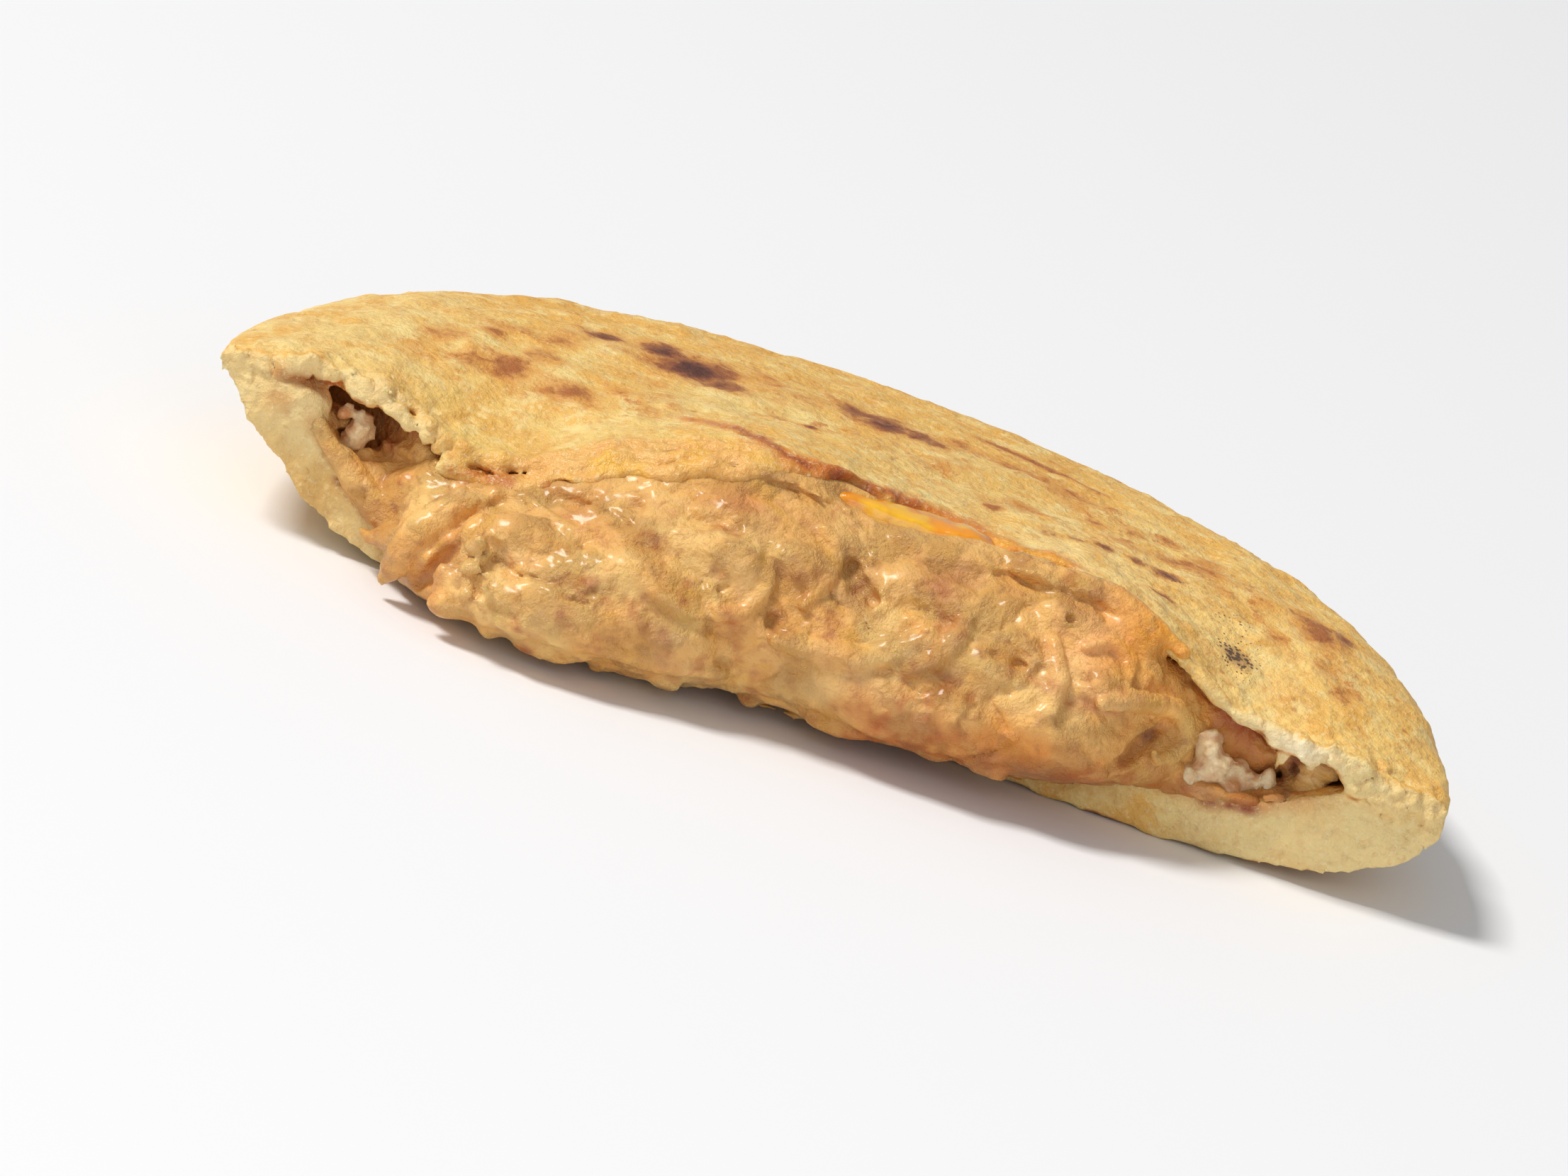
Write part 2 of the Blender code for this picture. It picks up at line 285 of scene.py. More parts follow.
class Field:
    """Signed distances on a grid, below 0 inside."""

    def __init__(self, xs, ys, zs):
        self.axes = (xs, ys, zs)
        self.x, self.y, self.z = np.meshgrid(*self.axes, indexing="ij", sparse=True)
        self.value = np.full([len(axis) for axis in self.axes], FAR)

    def flat(self, form):
        """A form of x and y, for every column of the grid."""
        return form(*np.broadcast_arrays(self.x[:, :, 0], self.y[:, :, 0]))[:, :, None]

    def upright(self, form):
        """A form of x and z, for every row of the grid."""
        return form(*np.broadcast_arrays(self.x[:, 0, :], self.z[:, 0, :]))[:, None, :]

    def in_distance(self, form):
        """A form whose zero is the surface, divided by its slope so that it counts millimetres."""
        slopes = np.gradient(form, *self.axes)
        steep = np.sqrt(sum(s * s for s in slopes))
        return np.clip(form / np.maximum(steep, 1e-4), -FAR, FAR)

    def near(self, low, high):
        """Slices of the grid between two corners."""
        return tuple(
            slice(int(np.searchsorted(a, lo)), int(np.searchsorted(a, hi)))
            for a, lo, hi in zip(self.axes, low, high)
        )

    def face(self, x, z):
        """How far forward the surface reaches at a place along the tear and a height."""
        i = np.argmin(np.abs(self.axes[0] - x))
        k = np.argmin(np.abs(self.axes[2] - z))
        inside = np.nonzero(self.value[i, :, k] < 0)[0]
        return self.axes[1][inside[0]] if len(inside) else front_place(x, z)

    def from_place(self, part, place):
        """How far a part of the grid lies from a place, along X, Y and Z."""
        return self.x[part[0]] - place[0], self.y[:, part[1]] - place[1], self.z[:, :, part[2]] - place[2]

    def blob(self, centre, radii, soft, cut=False, tilt=0.0):
        """Adds an ellipsoid, or cuts one away, with a soft join; tilt turns it about Y."""
        reach = max(radii) + 2 * soft + 0.6
        part = self.near([c - reach for c in centre], [c + reach for c in centre])
        dx, dy, dz = self.from_place(part, centre)
        c, s = math.cos(tilt), math.sin(tilt)
        along, over = c * dx + s * dz, c * dz - s * dx
        wide, deep, high = radii
        share = np.sqrt((along / wide) ** 2 + (dy / deep) ** 2 + (over / high) ** 2)
        slope = np.sqrt((along / wide**2) ** 2 + (dy / deep**2) ** 2 + (over / high**2) ** 2)
        self.join(part, share * (share - 1) / np.maximum(slope, 1e-3), soft, cut)

    def blobs(self, table, soft, cut=False):
        """Adds or cuts a table of ellipsoids: (x, y, z, radii)."""
        for x, y, z, *radii in table:
            self.blob((x, y, z), radii, soft, cut)

    def roll(self, points, soft, cut=False):
        """Adds a rounded rope through (x, y, z, radius) points, or cuts one away."""
        *places, sizes = zip(*points)
        reach = max(sizes) + 2 * soft + 0.6
        part = self.near([min(line) - reach for line in places], [max(line) + reach for line in places])
        away = np.full(self.value[part].shape, 99.0)
        for a, b in zip(points[:-1], points[1:]):
            dx, dy, dz = (q - p for p, q in zip(a[:3], b[:3]))
            px, py, pz = self.from_place(part, a)
            t = np.clip((px * dx + py * dy + pz * dz) / max(dx * dx + dy * dy + dz * dz, 1e-6), 0, 1)
            gap = np.sqrt((px - t * dx) ** 2 + (py - t * dy) ** 2 + (pz - t * dz) ** 2)
            away = np.minimum(away, gap - (a[3] + (b[3] - a[3]) * t))
        self.join(part, away, soft, cut)

    def join(self, part, away, soft, cut):
        old = self.value[part]
        if cut:
            mix = np.clip(0.5 - 0.5 * (old + away) / soft, 0, 1)
            self.value[part] = old * (1 - mix) - away * mix + soft * mix * (1 - mix)
        else:
            mix = np.clip(0.5 + 0.5 * (old - away) / soft, 0, 1)
            self.value[part] = old * (1 - mix) + away * mix - soft * mix * (1 - mix)

    def roughen(self, change, low, high, band=BAND):
        """Adds change(points) to the values close to the surface, between two corners."""
        part = self.near(low, high)
        block = self.value[part]
        close = np.abs(block) < band
        axes = [axis[s] for axis, s in zip(self.axes, part)]
        points = np.stack([axis[i] for axis, i in zip(axes, np.nonzero(close))], 1)
        block[close] += change(points)

    def mesh(self, name):
        """Takes the surface out of the field: one point in each cell that it crosses.

        Only its largest connected part is kept, and loose crumbs are dropped.
        """
        value = self.value
        value[[0, -1]] = value[:, [0, -1]] = value[:, :, [0, -1]] = FAR
        inside = value < 0
        shape = tuple(n - 1 for n in value.shape)
        count = np.zeros(shape, np.float32)
        places = [np.zeros(shape, np.float32) for _ in range(3)]
        crossings = []
        for axis, line in enumerate(self.axes):
            here, there = [slice(None)] * 3, [slice(None)] * 3
            here[axis], there[axis] = slice(None, -1), slice(1, None)
            here, there = tuple(here), tuple(there)
            index = np.nonzero(inside[here] != inside[there])
            start, end = value[here][index], value[there][index]
            at = [along[i] for along, i in zip(self.axes, index)]
            at[axis] = at[axis] + start / (start - end) * (line[index[axis] + 1] - at[axis])
            for back in product((0, 1), repeat=2):
                cell = cell_beside(index, axis, back)
                np.add.at(count, cell, 1)
                for k in range(3):
                    np.add.at(places[k], cell, at[k])
            crossings.append((axis, index, start < 0))
        used = count > 0
        number = np.full(shape, -1, np.int64)
        number[used] = np.arange(used.sum())
        points = np.stack([p[used] / count[used] for p in places], 1)
        faces = []
        for axis, index, starts_inside in crossings:
            ring = ((0, 0), (1, 0), (1, 1), (0, 1))
            quad = np.stack([number[cell_beside(index, axis, back)] for back in ring], 1)
            turned = starts_inside if axis != 1 else ~starts_inside
            quad[~turned] = quad[~turned][:, ::-1]
            faces.append(quad)
        return write_mesh(name, *largest_part(points, np.concatenate(faces)))


def cell_beside(index, axis, back):
    """The cells beside crossings along an axis, a step back or none along the two others."""
    cell = list(index)
    for other, step in zip([k for k in range(3) if k != axis], back):
        cell[other] = index[other] - step
    return tuple(cell)


def in_metres(points):
    return np.ravel((points + CENTRE) * MM).astype(np.float32)


def write_mesh(name, points, faces):
    """A mesh object of quads, from points in millimetres."""
    mesh = bpy.data.meshes.new(name)
    mesh.vertices.add(len(points))
    mesh.vertices.foreach_set("co", in_metres(points))
    mesh.loops.add(faces.size)
    mesh.loops.foreach_set("vertex_index", np.ravel(faces).astype(np.int32))
    mesh.polygons.add(len(faces))
    mesh.polygons.foreach_set("loop_start", np.arange(0, faces.size, 4, dtype=np.int32))
    mesh.update(calc_edges=True)
    mesh.validate()
    piece = bpy.data.objects.new(name, mesh)
    bpy.context.scene.collection.objects.link(piece)
    mesh.shade_smooth()
    return piece


def largest_part(points, faces):
    """Keeps the largest connected part of a mesh."""
    label = np.arange(len(points))
    while True:
        least = label[faces].min(1)
        new = label.copy()
        for corner in range(4):
            np.minimum.at(new, faces[:, corner], least)
        new = new[new]
        if np.array_equal(new, label):
            break
        label = new
    names, sizes = np.unique(label, return_counts=True)
    kept = label == names[np.argmax(sizes)]
    number = np.cumsum(kept) - 1
    return points[kept], number[faces[kept[faces[:, 0]]]]


def points_of(piece):
    """The piece's points in millimetres, and their normals."""
    count = len(piece.data.vertices) * 3
    points, normals = np.empty(count), np.empty(count)
    piece.data.vertices.foreach_get("co", points)
    piece.data.vertices.foreach_get("normal", normals)
    return points.reshape(-1, 3) / MM - CENTRE, normals.reshape(-1, 3)


def thin_out(piece, most):
    """Brings a mesh down to a number of triangles, taking them where it is flattest."""
    triangles = 2 * len(piece.data.polygons)
    if triangles <= most:
        return
    thinner = piece.modifiers.new("thin_out", "DECIMATE")
    thinner.ratio = most / triangles
    bpy.context.view_layer.update()
    ready = piece.evaluated_get(bpy.context.evaluated_depsgraph_get())
    mesh = bpy.data.meshes.new_from_object(ready)
    piece.modifiers.clear()
    piece.data = mesh
    mesh.shade_smooth()


def steps(low, high, step):
    return np.arange(low, high + step / 2, step)


# --------------------------------------------------------------------------- the dough


def dough_piece():
    """The crust: the half cake with its torn wall, less the pocket of the filling."""
    ys = np.concatenate([steps(-7.14, FRONT_END, FINE), steps(FRONT_END + 0.6, BACK_END, 0.75)])
    grid = Field(steps(-67.5, 67.5, FINE), ys, steps(-0.84, 26.0, FINE))
    z = grid.z
    u, rim, curl = (grid.flat(form) for form in (share_of_radius, rim_height, left_end))
    inner = np.minimum(u, 0.995)
    crest = (grid.flat(top_height) - rim) / np.sqrt(1 - inner**TOP_ROUNDING)
    over = (np.maximum(z - rim, 0) / np.maximum(crest, 1)) ** 2 + u**TOP_ROUNDING - 1
    rise = 1 - z / rim * (1 - FLAT_SHARE) - FLAT_SHARE
    under = np.maximum(rise, 0) ** (1 / (0.5 + 0.5 * curl)) + u ** (BASE_ROUNDING - 2 * curl) - 1
    body = np.maximum(grid.in_distance(np.where(z > rim, over, under)), -z)
    grid.value = np.maximum(body, grid.upright(tear_place) - grid.y)
    crumble(grid)
    grid.value = np.maximum(grid.value, -pocket_form(grid, POCKET_GAP))
    curl_ledge(grid)
    grid.blobs(FRY_NOTCHES, 0.4, cut=True)
    grid.blobs(LEFT_CORNER, 0.8)
    grid.blobs(END_HOLLOWS, 0.5, cut=True)
    crumbs_on_lips(grid)

    def uneven(points):
        down = 1 - ease(0.3, 1.5, points[:, 2])
        return BASE_RELIEF * down * np.clip(0.5 + rough(points, 5.0, 471, 3), 0, 1)

    grid.roughen(uneven, (-66, -7, -0.9), (66, BACK_END, 2))
    piece = grid.mesh("dough_crust")
    thin_out(piece, DOUGH_TRIANGLES)
    pat(piece)
    return piece


def pocket_form(grid, grow):
    """Distances to the pocket's wall, below 0 in the pocket."""
    ceiling = grid.flat(top_height) - TOP_CRUST + grow
    low = grid.flat(floor_height) - grow
    reach = grid.flat(outline_at) - RIM_DOUGH + grow
    u = np.hypot(grid.x, np.maximum(grid.y, 0)) / reach
    half = np.maximum((ceiling - low) / 2, 0.3)
    return grid.in_distance(((grid.z - (ceiling + low) / 2) / half) ** 2 + u**POCKET_ROUNDING - 1)


def crumbly(x, z):
    """How crumbly the tear is: most on the lips of its two ends, where dry dough broke."""
    end = (1 - ease(-44, -38, x)) + ease(41, 47, x)
    below_lip = through(TOP_LIP_HEIGHT, x) - z
    return 0.05 + 0.95 * end * (1 - 0.72 * ease(2.2, 4.5, below_lip))


def crumble(grid):
    """Makes the torn wall rough, in clumps and grains."""

    def change(points):
        x, y, z = points.T
        fade = ease(1, 9, half_depth(x)) * ease(0, 1.2, z)
        in_front = 1 - ease(1.0, 5.0, y - tear_place(x, z))
        dry = crumbly(x, z)
        clumps = 0.4 * rough(points, 2.6, 11) + 0.3 * rough(points, 5.5, 21, 2)
        away, own = grains(points, 1.25, 31)
        bumps = (0.42 - away) * (0.4 + own)
        return (clumps * (0.1 + 0.9 * dry) - bumps * dry) * fade * in_front

    grid.roughen(change, (-67, -4, 0), (67, FRONT_END, 26))


BASE_RELIEF = 0.35  # the deepest hollow in the underside

# How far the moist inner skin of the top crust curls over the filling: (x, reach).
LEDGE = [
    (-41, 0.4), (-38, 1.6), (-35, 2.8), (-31, 4.2), (-26, 5.2), (-19, 5.8), (-13, 5.4), (-9, 4.6),
    (-6, 2.6), (-3, 0.8), (1, 0.3),
]
# Crescents that open below its edge: (x, height, half width, half height).
LEDGE_NOTCHES = [
    (-27, 15.6, 2.8, 0.5), (-21, 17.3, 0.8, 0.45), (-12.4, 19.6, 2.4, 0.35), (-36.6, 13.8, 1.8, 0.5),
]
# How deep the filling sinks behind the edge: (x, depth).
SINK = [(-42, 0), (-37, 0.3), (-12, 0.3), (-4, 0.6), (8, 0.6), (13, 0.1), (36, 0)]
# The height above which it sinks: (x, height).
SINK_EDGE = [
    (-42, 13.2), (-35.7, 14.6), (-27.9, 16.4), (-20, 18.4), (-12.9, 20.5), (-4, 20.2), (8, 20.4),
    (36, 20.4),
]


def front_height(x, y):
    """The height at which the filling's front reaches a place forwards."""
    heights = steps(8, 25, 0.05)[::-1]
    reached = np.nonzero(front_place(np.full(len(heights), x), heights) <= y)[0]
    return heights[reached[0]] if len(reached) else 20.0


def ledge_rope(part):
    """The skin's edge part of the way forwards: (x, y, z, radius) along it."""
    rope = []
    for x in steps(-41, 1, 1.5):
        reach = through(LEDGE, x) * part
        reach *= 1 + 0.1 * math.sin(0.9 * x) + 0.08 * math.sin(0.37 * x + 1)
        place = through(TOP_LIP_PLACE, x) - reach
        thick = 0.5 + 0.07 * reach
        under_top = through(TOP_LIP_HEIGHT, x) - 0.15 * reach
        rope.append((x, place + thick, min(front_height(x, place) + 0.5, under_top) - thick, thick))
    return rope


def curl_ledge(grid):
    """Rolls the inner skin forwards from the lip, with a few crescent notches below it."""
    for part in (0.3, 0.65, 1.0):
        grid.roll(ledge_rope(part), 1.2)
    for x, z, wide, high in LEDGE_NOTCHES:
        grid.blob((x, grid.face(x, z + 0.6), z), (wide, 1.0, high), 0.4, cut=True)


# The next four are ellipsoids: (x, y, z, radii).
# Notches where the top crust is torn back and cheese fried in its place.
FRY_NOTCHES = [
    (1.6, 2.4, 22.8, 5.6, 2.6, 2.3), (7.6, 3.4, 22.8, 5.6, 4, 2.6), (12, 2.4, 23.4, 3.6, 3, 2.4),
]
# Dough that closes the pocket's left corner.
LEFT_CORNER = [(-55.6, 0.4, 13.2, 2.7, 1.5, 3)]
# Hollows that the tear opened at its two ends.
END_HOLLOWS = [
    (-46.8, 0.2, 14.6, 3.8, 4.8, 1.9), (-42.8, -0.8, 13.5, 2.8, 3.6, 1.4),
    (-50, 0.4, 14.7, 2.2, 3.8, 1.7), (-54.4, -0.8, 16.3, 3.2, 2.2, 1), (-58, -0.6, 15.9, 2, 1.5, 0.6),
    (43.2, -1.2, 11.6, 3.8, 6.5, 2.9), (39.6, -1, 13, 2.8, 6.2, 2.4), (46.8, -1.2, 11, 2.2, 5.5, 2.4),
    (49.4, -1, 11.4, 0.7, 3, 2.2), (52.2, -1.2, 12.2, 1.6, 2.2, 1.3), (36.2, -1.2, 15.6, 2.6, 3.6, 0.95),
    (56.6, -1, 12.3, 1.3, 1.4, 0.8), (60, -0.8, 10.8, 1.1, 1.2, 0.7),
]
# Tabs of dry dough that hang from the lip at the right end.
LIP_TABS = [
    (47.2, -0.9, 14.3, 2.4, 0.9, 1), (47.7, -1, 12.8, 0.8, 0.7, 1.5), (47.5, -1, 11.4, 0.4, 0.45, 0.8),
    (50.4, -0.8, 14, 1, 0.8, 0.6), (50.6, -0.6, 12.7, 0.6, 0.5, 0.8), (54.4, -0.9, 13, 1.1, 0.8, 1),
    (43.4, -1, 15.2, 1.4, 0.8, 0.5), (55.6, -1, 11.6, 0.9, 0.8, 0.8), (45.4, -0.8, 14.6, 1.6, 0.8, 0.6),
]


def crumbs_on_lips(grid):
    """Grains and clumps of dough that stick out of the lips and the torn wall."""
    dice = np.random.default_rng(7)
    grid.blobs(LIP_TABS, 0.5)
    for low, high, count in ((-61, -39, 70), (46, 63, 50), (54, 64, 50)):
        for _ in range(count):
            x = dice.uniform(low, high)
            size = dice.uniform(0.25, 0.8)
            z = top_height(x, 0) - dice.uniform(0.5, 1.7 + ease(53, 57, x)) - 0.2 * size
            y = tear_place(x, z) + dice.uniform(0.1, 0.8)
            grid.blob((x, y, z), size * dice.uniform(0.7, 1.25, 3), 0.35)

    def ragged(points):
        return 0.3 * rough(points, 1.7, 461, 2) * crumbly(points[:, 0], points[:, 2])

    grid.roughen(ragged, (-63, -4, 8), (-37, 3, 20))
    grid.roughen(ragged, (37, -4, 5), (64, 3, 20))


def pat(piece):
    """The uneven patted skin, with its fine grain, on everything but the pocket and the base."""
    points, normals = points_of(piece)
    x, y, z = points.T
    fade = ease(0, 4, z) * ease(*FADE_AT_ENDS, half_depth(x))
    rim = ease(0.8, 0.98, share_of_radius(x, y))
    move = 0.5 * rough(points, 9.0, 41, 2) + 0.3 * rough(points, 3.4, 51) * (1 - 0.75 * rim)
    fine = 0.13 * rough(points, 1.5, 61, 2) * ease(0, 2, z)
    threads = 0.16 * rough(points * (2.4, 0.6, 0.6), 2.0, 71, 2) * inner_skin(points)
    outwards = (move * fade * 0.8 + fine + threads) * (1 - in_pocket(points))
    piece.data.vertices.foreach_set("co", in_metres(points + normals * outwards[:, None]))
    piece.data.update()


def inner_skin(points):
    """1 on the moist skin that curls over the filling, in front of the lip."""
    x, y, z = points.T
    in_front = ease(-0.9, 0.9, through(TOP_LIP_PLACE, x) - y + 0.5 * rough(points, 3.0, 241, 2))
    return in_front * ease(8, 12, z) * ease(-41, -36, x) * (1 - ease(28, 34, x))


def in_pocket(points):
    """1 for points on the pocket's wall or in front of it."""
    x, y, z = points.T
    reach = outline_at(x, y) - RIM_DOUGH + POCKET_GAP + 0.7
    inside = 1 - ease(0.97, 1.0, np.hypot(x, np.maximum(y, 0)) / reach)
    below_top = 1 - ease(-1.3, -0.7, z - top_height(x, y))
    above_base = ease(0.9, 1.5, z - base_height(x, y))
    behind = ease(0.5, 2.0, y - tear_place(x, z))
    return inside * below_top * above_base * behind


# --------------------------------------------------------------------------- the filling

# Lobes of the filling's front: (x, z, half width, half height, reach forwards, tilt in degrees).
LOBES = [
    (-34.2, 9.4, 2.3, 3.2, 2, 10), (-29.8, 11, 4.6, 2.6, 1.2, -8), (-21, 11.2, 6, 2.6, 1.2, 12),
    (-26, 6.4, 5, 2.4, 1.4, 10), (-14.5, 7.4, 5, 2.6, 1.4, 5), (-12.8, 15.6, 5.6, 2.2, 1.2, 10),
    (-8.6, 14, 2.3, 3.2, 1.5, 8), (-4, 16.8, 3.4, 2.2, 1.6, -12), (6.6, 17, 3, 2.6, 1.5, 15),
    (12, 17.6, 4.4, 1.9, 1.2, -8), (14.6, 8.6, 4, 2.8, 1.6, 0), (17, 13.2, 3.2, 2.6, 1.2, -30),
    (23.6, 9.4, 4.6, 2.4, 1.3, -8), (28, 14.2, 3, 3, 1.2, -20), (29.6, 18.4, 3.6, 2.2, 1.2, -20),
    (22, 18.8, 2.4, 1.8, 1, -20), (-1.4, 6, 4, 1.8, 1.2, 0), (6, 7.4, 3.4, 1.5, 1, 0),
    (29, 7.4, 3, 1.8, 1, 0), (-35, 3.6, 2.4, 1.4, 2.2, 15), (-30.6, 2.2, 1, 0.8, 1.8, 0),
    (-24.6, 2.4, 3.4, 1.1, 1.8, 8), (-19.6, 1.4, 0.8, 0.6, 1.4, 0), (-13.6, 2.6, 2.6, 0.9, 1.6, -8),
    (-4.4, 2.4, 1.2, 0.9, 1.4, 0), (5, 3, 3.4, 0.9, 1.4, 5), (14.6, 3.6, 1.4, 1, 1.4, 0),
    (20, 4.2, 2.4, 1, 1.2, -6),
]
# Ropes and folds: (x, z, radius) along them, and how far they stand out.
FOLDS = [
    ([(-6.6, 16.8, 0.7), (-6.3, 14.2, 0.8), (-7.4, 11.8, 0.9), (-9.8, 11.2, 0.8),
     (-11.4, 12.8, 0.6)], 1.5),
    ([(-3.6, 10.4, 0.8), (0.2, 10.6, 1.3), (4.6, 10.8, 1.5), (8.4, 12.6, 1.5), (10.4, 14.8, 1.2)], 1.7),
    ([(9, 11, 1.2), (11.4, 13, 1.4), (13.2, 15.2, 1.3), (13.4, 17, 0.9)], 1.3),
    ([(-28, 4.6, 0.8), (-21, 5.4, 1.1), (-14, 4.8, 1.2), (-8, 5.4, 0.8)], 1.2),
    ([(22.4, 17.4, 0.8), (24, 14.8, 1.1), (24, 12, 1.2), (22.6, 10, 0.7)], 1.3),
    ([(28.8, 14.2, 0.7), (31.4, 14.9, 1), (33.8, 14.7, 1.1), (36, 14.2, 1.1), (37.5, 12.8, 1.1),
     (38, 11.2, 1), (37.2, 9.8, 0.9), (35.8, 9.6, 0.6), (35.2, 10.6, 0.4)], 3.2),
    ([(25.4, 18, 0.5), (27.8, 18.8, 0.7), (30.2, 17.6, 0.8), (30.4, 15.8, 0.7), (28.8, 15, 0.5)], 1.4),
    ([(-2.6, 20, 0.7), (-0.9, 18.6, 1), (-0.9, 16.2, 1), (-2.2, 14, 0.7)], 1.6),
    ([(4.2, 18.6, 0.6), (5, 17.2, 0.8), (4.7, 15.4, 0.6)], 1.5),
    ([(16.4, 16.6, 0.5), (18.6, 16.9, 0.7), (21.2, 15.9, 0.6)], 1),
    ([(16, 14.2, 0.6), (18.4, 13.2, 0.8), (20.8, 13.6, 0.7)], 1),
    ([(-19, 12.6, 0.7), (-15.4, 11.2, 0.9), (-11.6, 10.2, 0.8)], 1.2),
    ([(-31, 13.6, 0.5), (-26, 13.2, 0.9), (-20.5, 14.6, 1), (-15, 16.6, 0.9)], 1),
]
# A tongue of filling at the left, down over the base crust: (x, y, z, radius).
FLAP = [
    (-34.6, -5.8, 12.9, 0.8), (-36.4, -6.8, 12, 1.5), (-38.4, -8.2, 10.2, 2), (-40, -9.4, 7.8, 2.2),
    (-41, -9.8, 5.4, 1.9), (-41.8, -9.6, 3.4, 1.2), (-42.4, -9.3, 1.9, 0.6),
]
# The recess beside it, and the hollow under the curled rope at the right: (x, z, radius).
RECESS = [(-36, 9.6, 0.4), (-36.8, 7.4, 0.9), (-38, 4.8, 1), (-39, 3.2, 0.7)]
ARCH = [(34.6, 11.6, 0.7), (33.9, 10.4, 1.1), (33, 9, 1), (31.8, 7.8, 0.5)]
# Other hollows: (x, z, half width, depth, half height).
PITS = [
    (1.2, 17.6, 1, 1.8, 1.1), (2.4, 16.6, 1.3, 2, 1.3), (3.8, 15.8, 1.2, 1.6, 0.9),
    (17.4, 15.4, 0.8, 0.7, 0.45), (19.8, 15, 0.9, 0.8, 0.45), (35.6, 12.2, 1.2, 1, 0.8),
    (23.2, 19.6, 0.6, 0.5, 0.4), (-39.6, 13, 1.2, 2, 0.6), (-36.8, 13.3, 1.6, 1.5, 0.5),
    (-27, 15, 2.6, 1, 0.5), (-21, 16.9, 0.8, 1, 0.5), (-4.6, 11.8, 0.7, 0.7, 0.9),
    (26.6, 15.6, 0.5, 0.5, 0.4), (-23.4, 8.8, 1.6, 0.4, 0.4),
]
# Lumps that partly fill the two end hollows: (x, y, z, radii).
END_LUMPS = [
    (-49, 2.6, 7.6, 2.6, 3, 2.8), (-46.2, 1.6, 7.4, 3.2, 3.2, 3.6), (-42.8, 0.6, 7.2, 2.8, 3.4, 4.4),
    (-44.4, 3.2, 10.6, 3, 3, 2), (-53.4, 2.6, 12.2, 3, 2.6, 1.4), (-57, 2.2, 13.8, 2.4, 2.6, 1),
    (41, 5.6, 10.5, 4, 3.6, 4.4), (45.6, 5.8, 10, 3, 3.4, 3), (51.4, 3, 8.8, 2.6, 2, 1.4),
    (52.2, 2.6, 12.2, 2, 1.7, 1.9), (49, 4.6, 11.6, 2.2, 2, 2.2), (39.6, 1.6, 6.6, 3, 2.8, 1.6),
    (44, 1.8, 6.4, 4, 2.6, 1.4), (49, 1.6, 7.8, 3, 2.4, 1.2),
]
# Strands smeared along the base crust's inner edge at the two ends: (x, y, z, radius).
SMEARS = [
    [(-41.6, -6.6, 5.4, 1.3), (-43.6, -4.6, 4.3, 0.9), (-45.4, -3, 3.7, 0.45), (-46.4, -2.4, 3.9, 0.25)],
    [(-58, 0.2, 14.4, 0.4), (-54, -0.6, 12.4, 0.8), (-50.2, -1, 9.6, 1), (-46.6, -1.5, 6.4, 1.1),
     (-43.2, -2.2, 4.2, 0.9)],
    [(-50.6, -0.6, 11.2, 0.35), (-48.2, -1.2, 8.8, 0.5), (-45.6, -2, 6.8, 0.5), (-43.6, -2.8, 4.8, 0.4)],
    [(38, -1.2, 5.8, 0.7), (42, -1, 6.3, 0.8), (46, -0.9, 7.1, 0.7), (50, -0.7, 8.4, 0.5)],
]
# The filling that rises to the cheese fried at the lip: (x, y, z, radii).
SHOULDERS = [
    (-1.4, 1.4, 19.3, 3, 2.4, 1.6), (3, 1.2, 19.4, 4, 2.6, 1.6), (7.4, 0.8, 19.8, 4, 2.6, 1.7),
    (11, 0.8, 20.5, 3.6, 2.6, 1.7),
]

FRONT_PART = ((-56, -23, 0), (56, 3.5, 25))  # two corners round the filling's front
LOWEST_FILLING = 0.35  # the filling stays this far above the table


def lip_rope():
    """The filling that covers the lip's front on the right: (x, y, z, radius) along it."""
    rope = []
    for x in steps(11, 35.5, 1.5):
        lip, height = through(TOP_LIP_PLACE, x), through(TOP_LIP_HEIGHT, x)
        over = ease(22, 28, x)
        size = 1.3 + 0.15 * math.sin(1.1 * x) - 0.16 * max(x - 31, 0)
        drop = size + 0.15 + 0.2 * math.sin(0.7 * x) ** 2
        rope.append((x, lip - 0.7 + 1.3 * over, height - drop + 0.7 * over, size))
    return rope


def clump():
    """Crumbs of a pale clump on the front: (x, y from the front, z, radius)."""
    dice = np.random.default_rng(19)
    crumbs = []
    for _ in range(44):
        z = dice.uniform(5.4, 11.6)
        x = -33.6 - 0.25 * (z - 8.5) + dice.normal(0, 0.9)
        crumbs.append((x, dice.uniform(-0.5, 0.1), z, dice.uniform(0.35, 0.8)))
    return crumbs


def folded(points):
    """Broad lying folds with creases between them."""
    x, y, z = points.T
    lying = np.stack([0.5 * (0.97 * x - 0.24 * z), y, 1.15 * (0.97 * z + 0.24 * x)], 1)
    warp = warped(points, 7.0, 71)
    large = np.abs(rough(lying + 2.6 * warp, 8.0, 101, 1))
    small = np.abs(rough(lying + 1.6 * warp, 3.6, 111, 2))
    creases = 0.4 * np.exp(-((large / 0.06) ** 2))
    return (creases - 1.05 * (large - 0.3) - 0.55 * (small - 0.25)) * ease(4, 16, half_depth(x))


def sunk(points):
    """The dip behind the skin's edge."""
    x, y, z = points.T
    return through(SINK, x) * ease(-0.3, 0.9, z - through(SINK_EDGE, x)) * ease(-8, -6, y)


def wrinkled(points):
    """Small wrinkles, in patches, and grain."""
    wrinkles = np.abs(rough(points * (0.6, 1, 1) + 0.9 * warped(points, 4.0, 141), 2.2, 131, 2))
    patchy = ease(-0.1, 0.4, rough(points, 6.0, 171, 1))
    change = 0.09 * rough(points, 1.1, 121, 2) - (0.12 + 0.34 * patchy) * (wrinkles - 0.25)
    return change * ease(2, 8, half_depth(points[:, 0]))


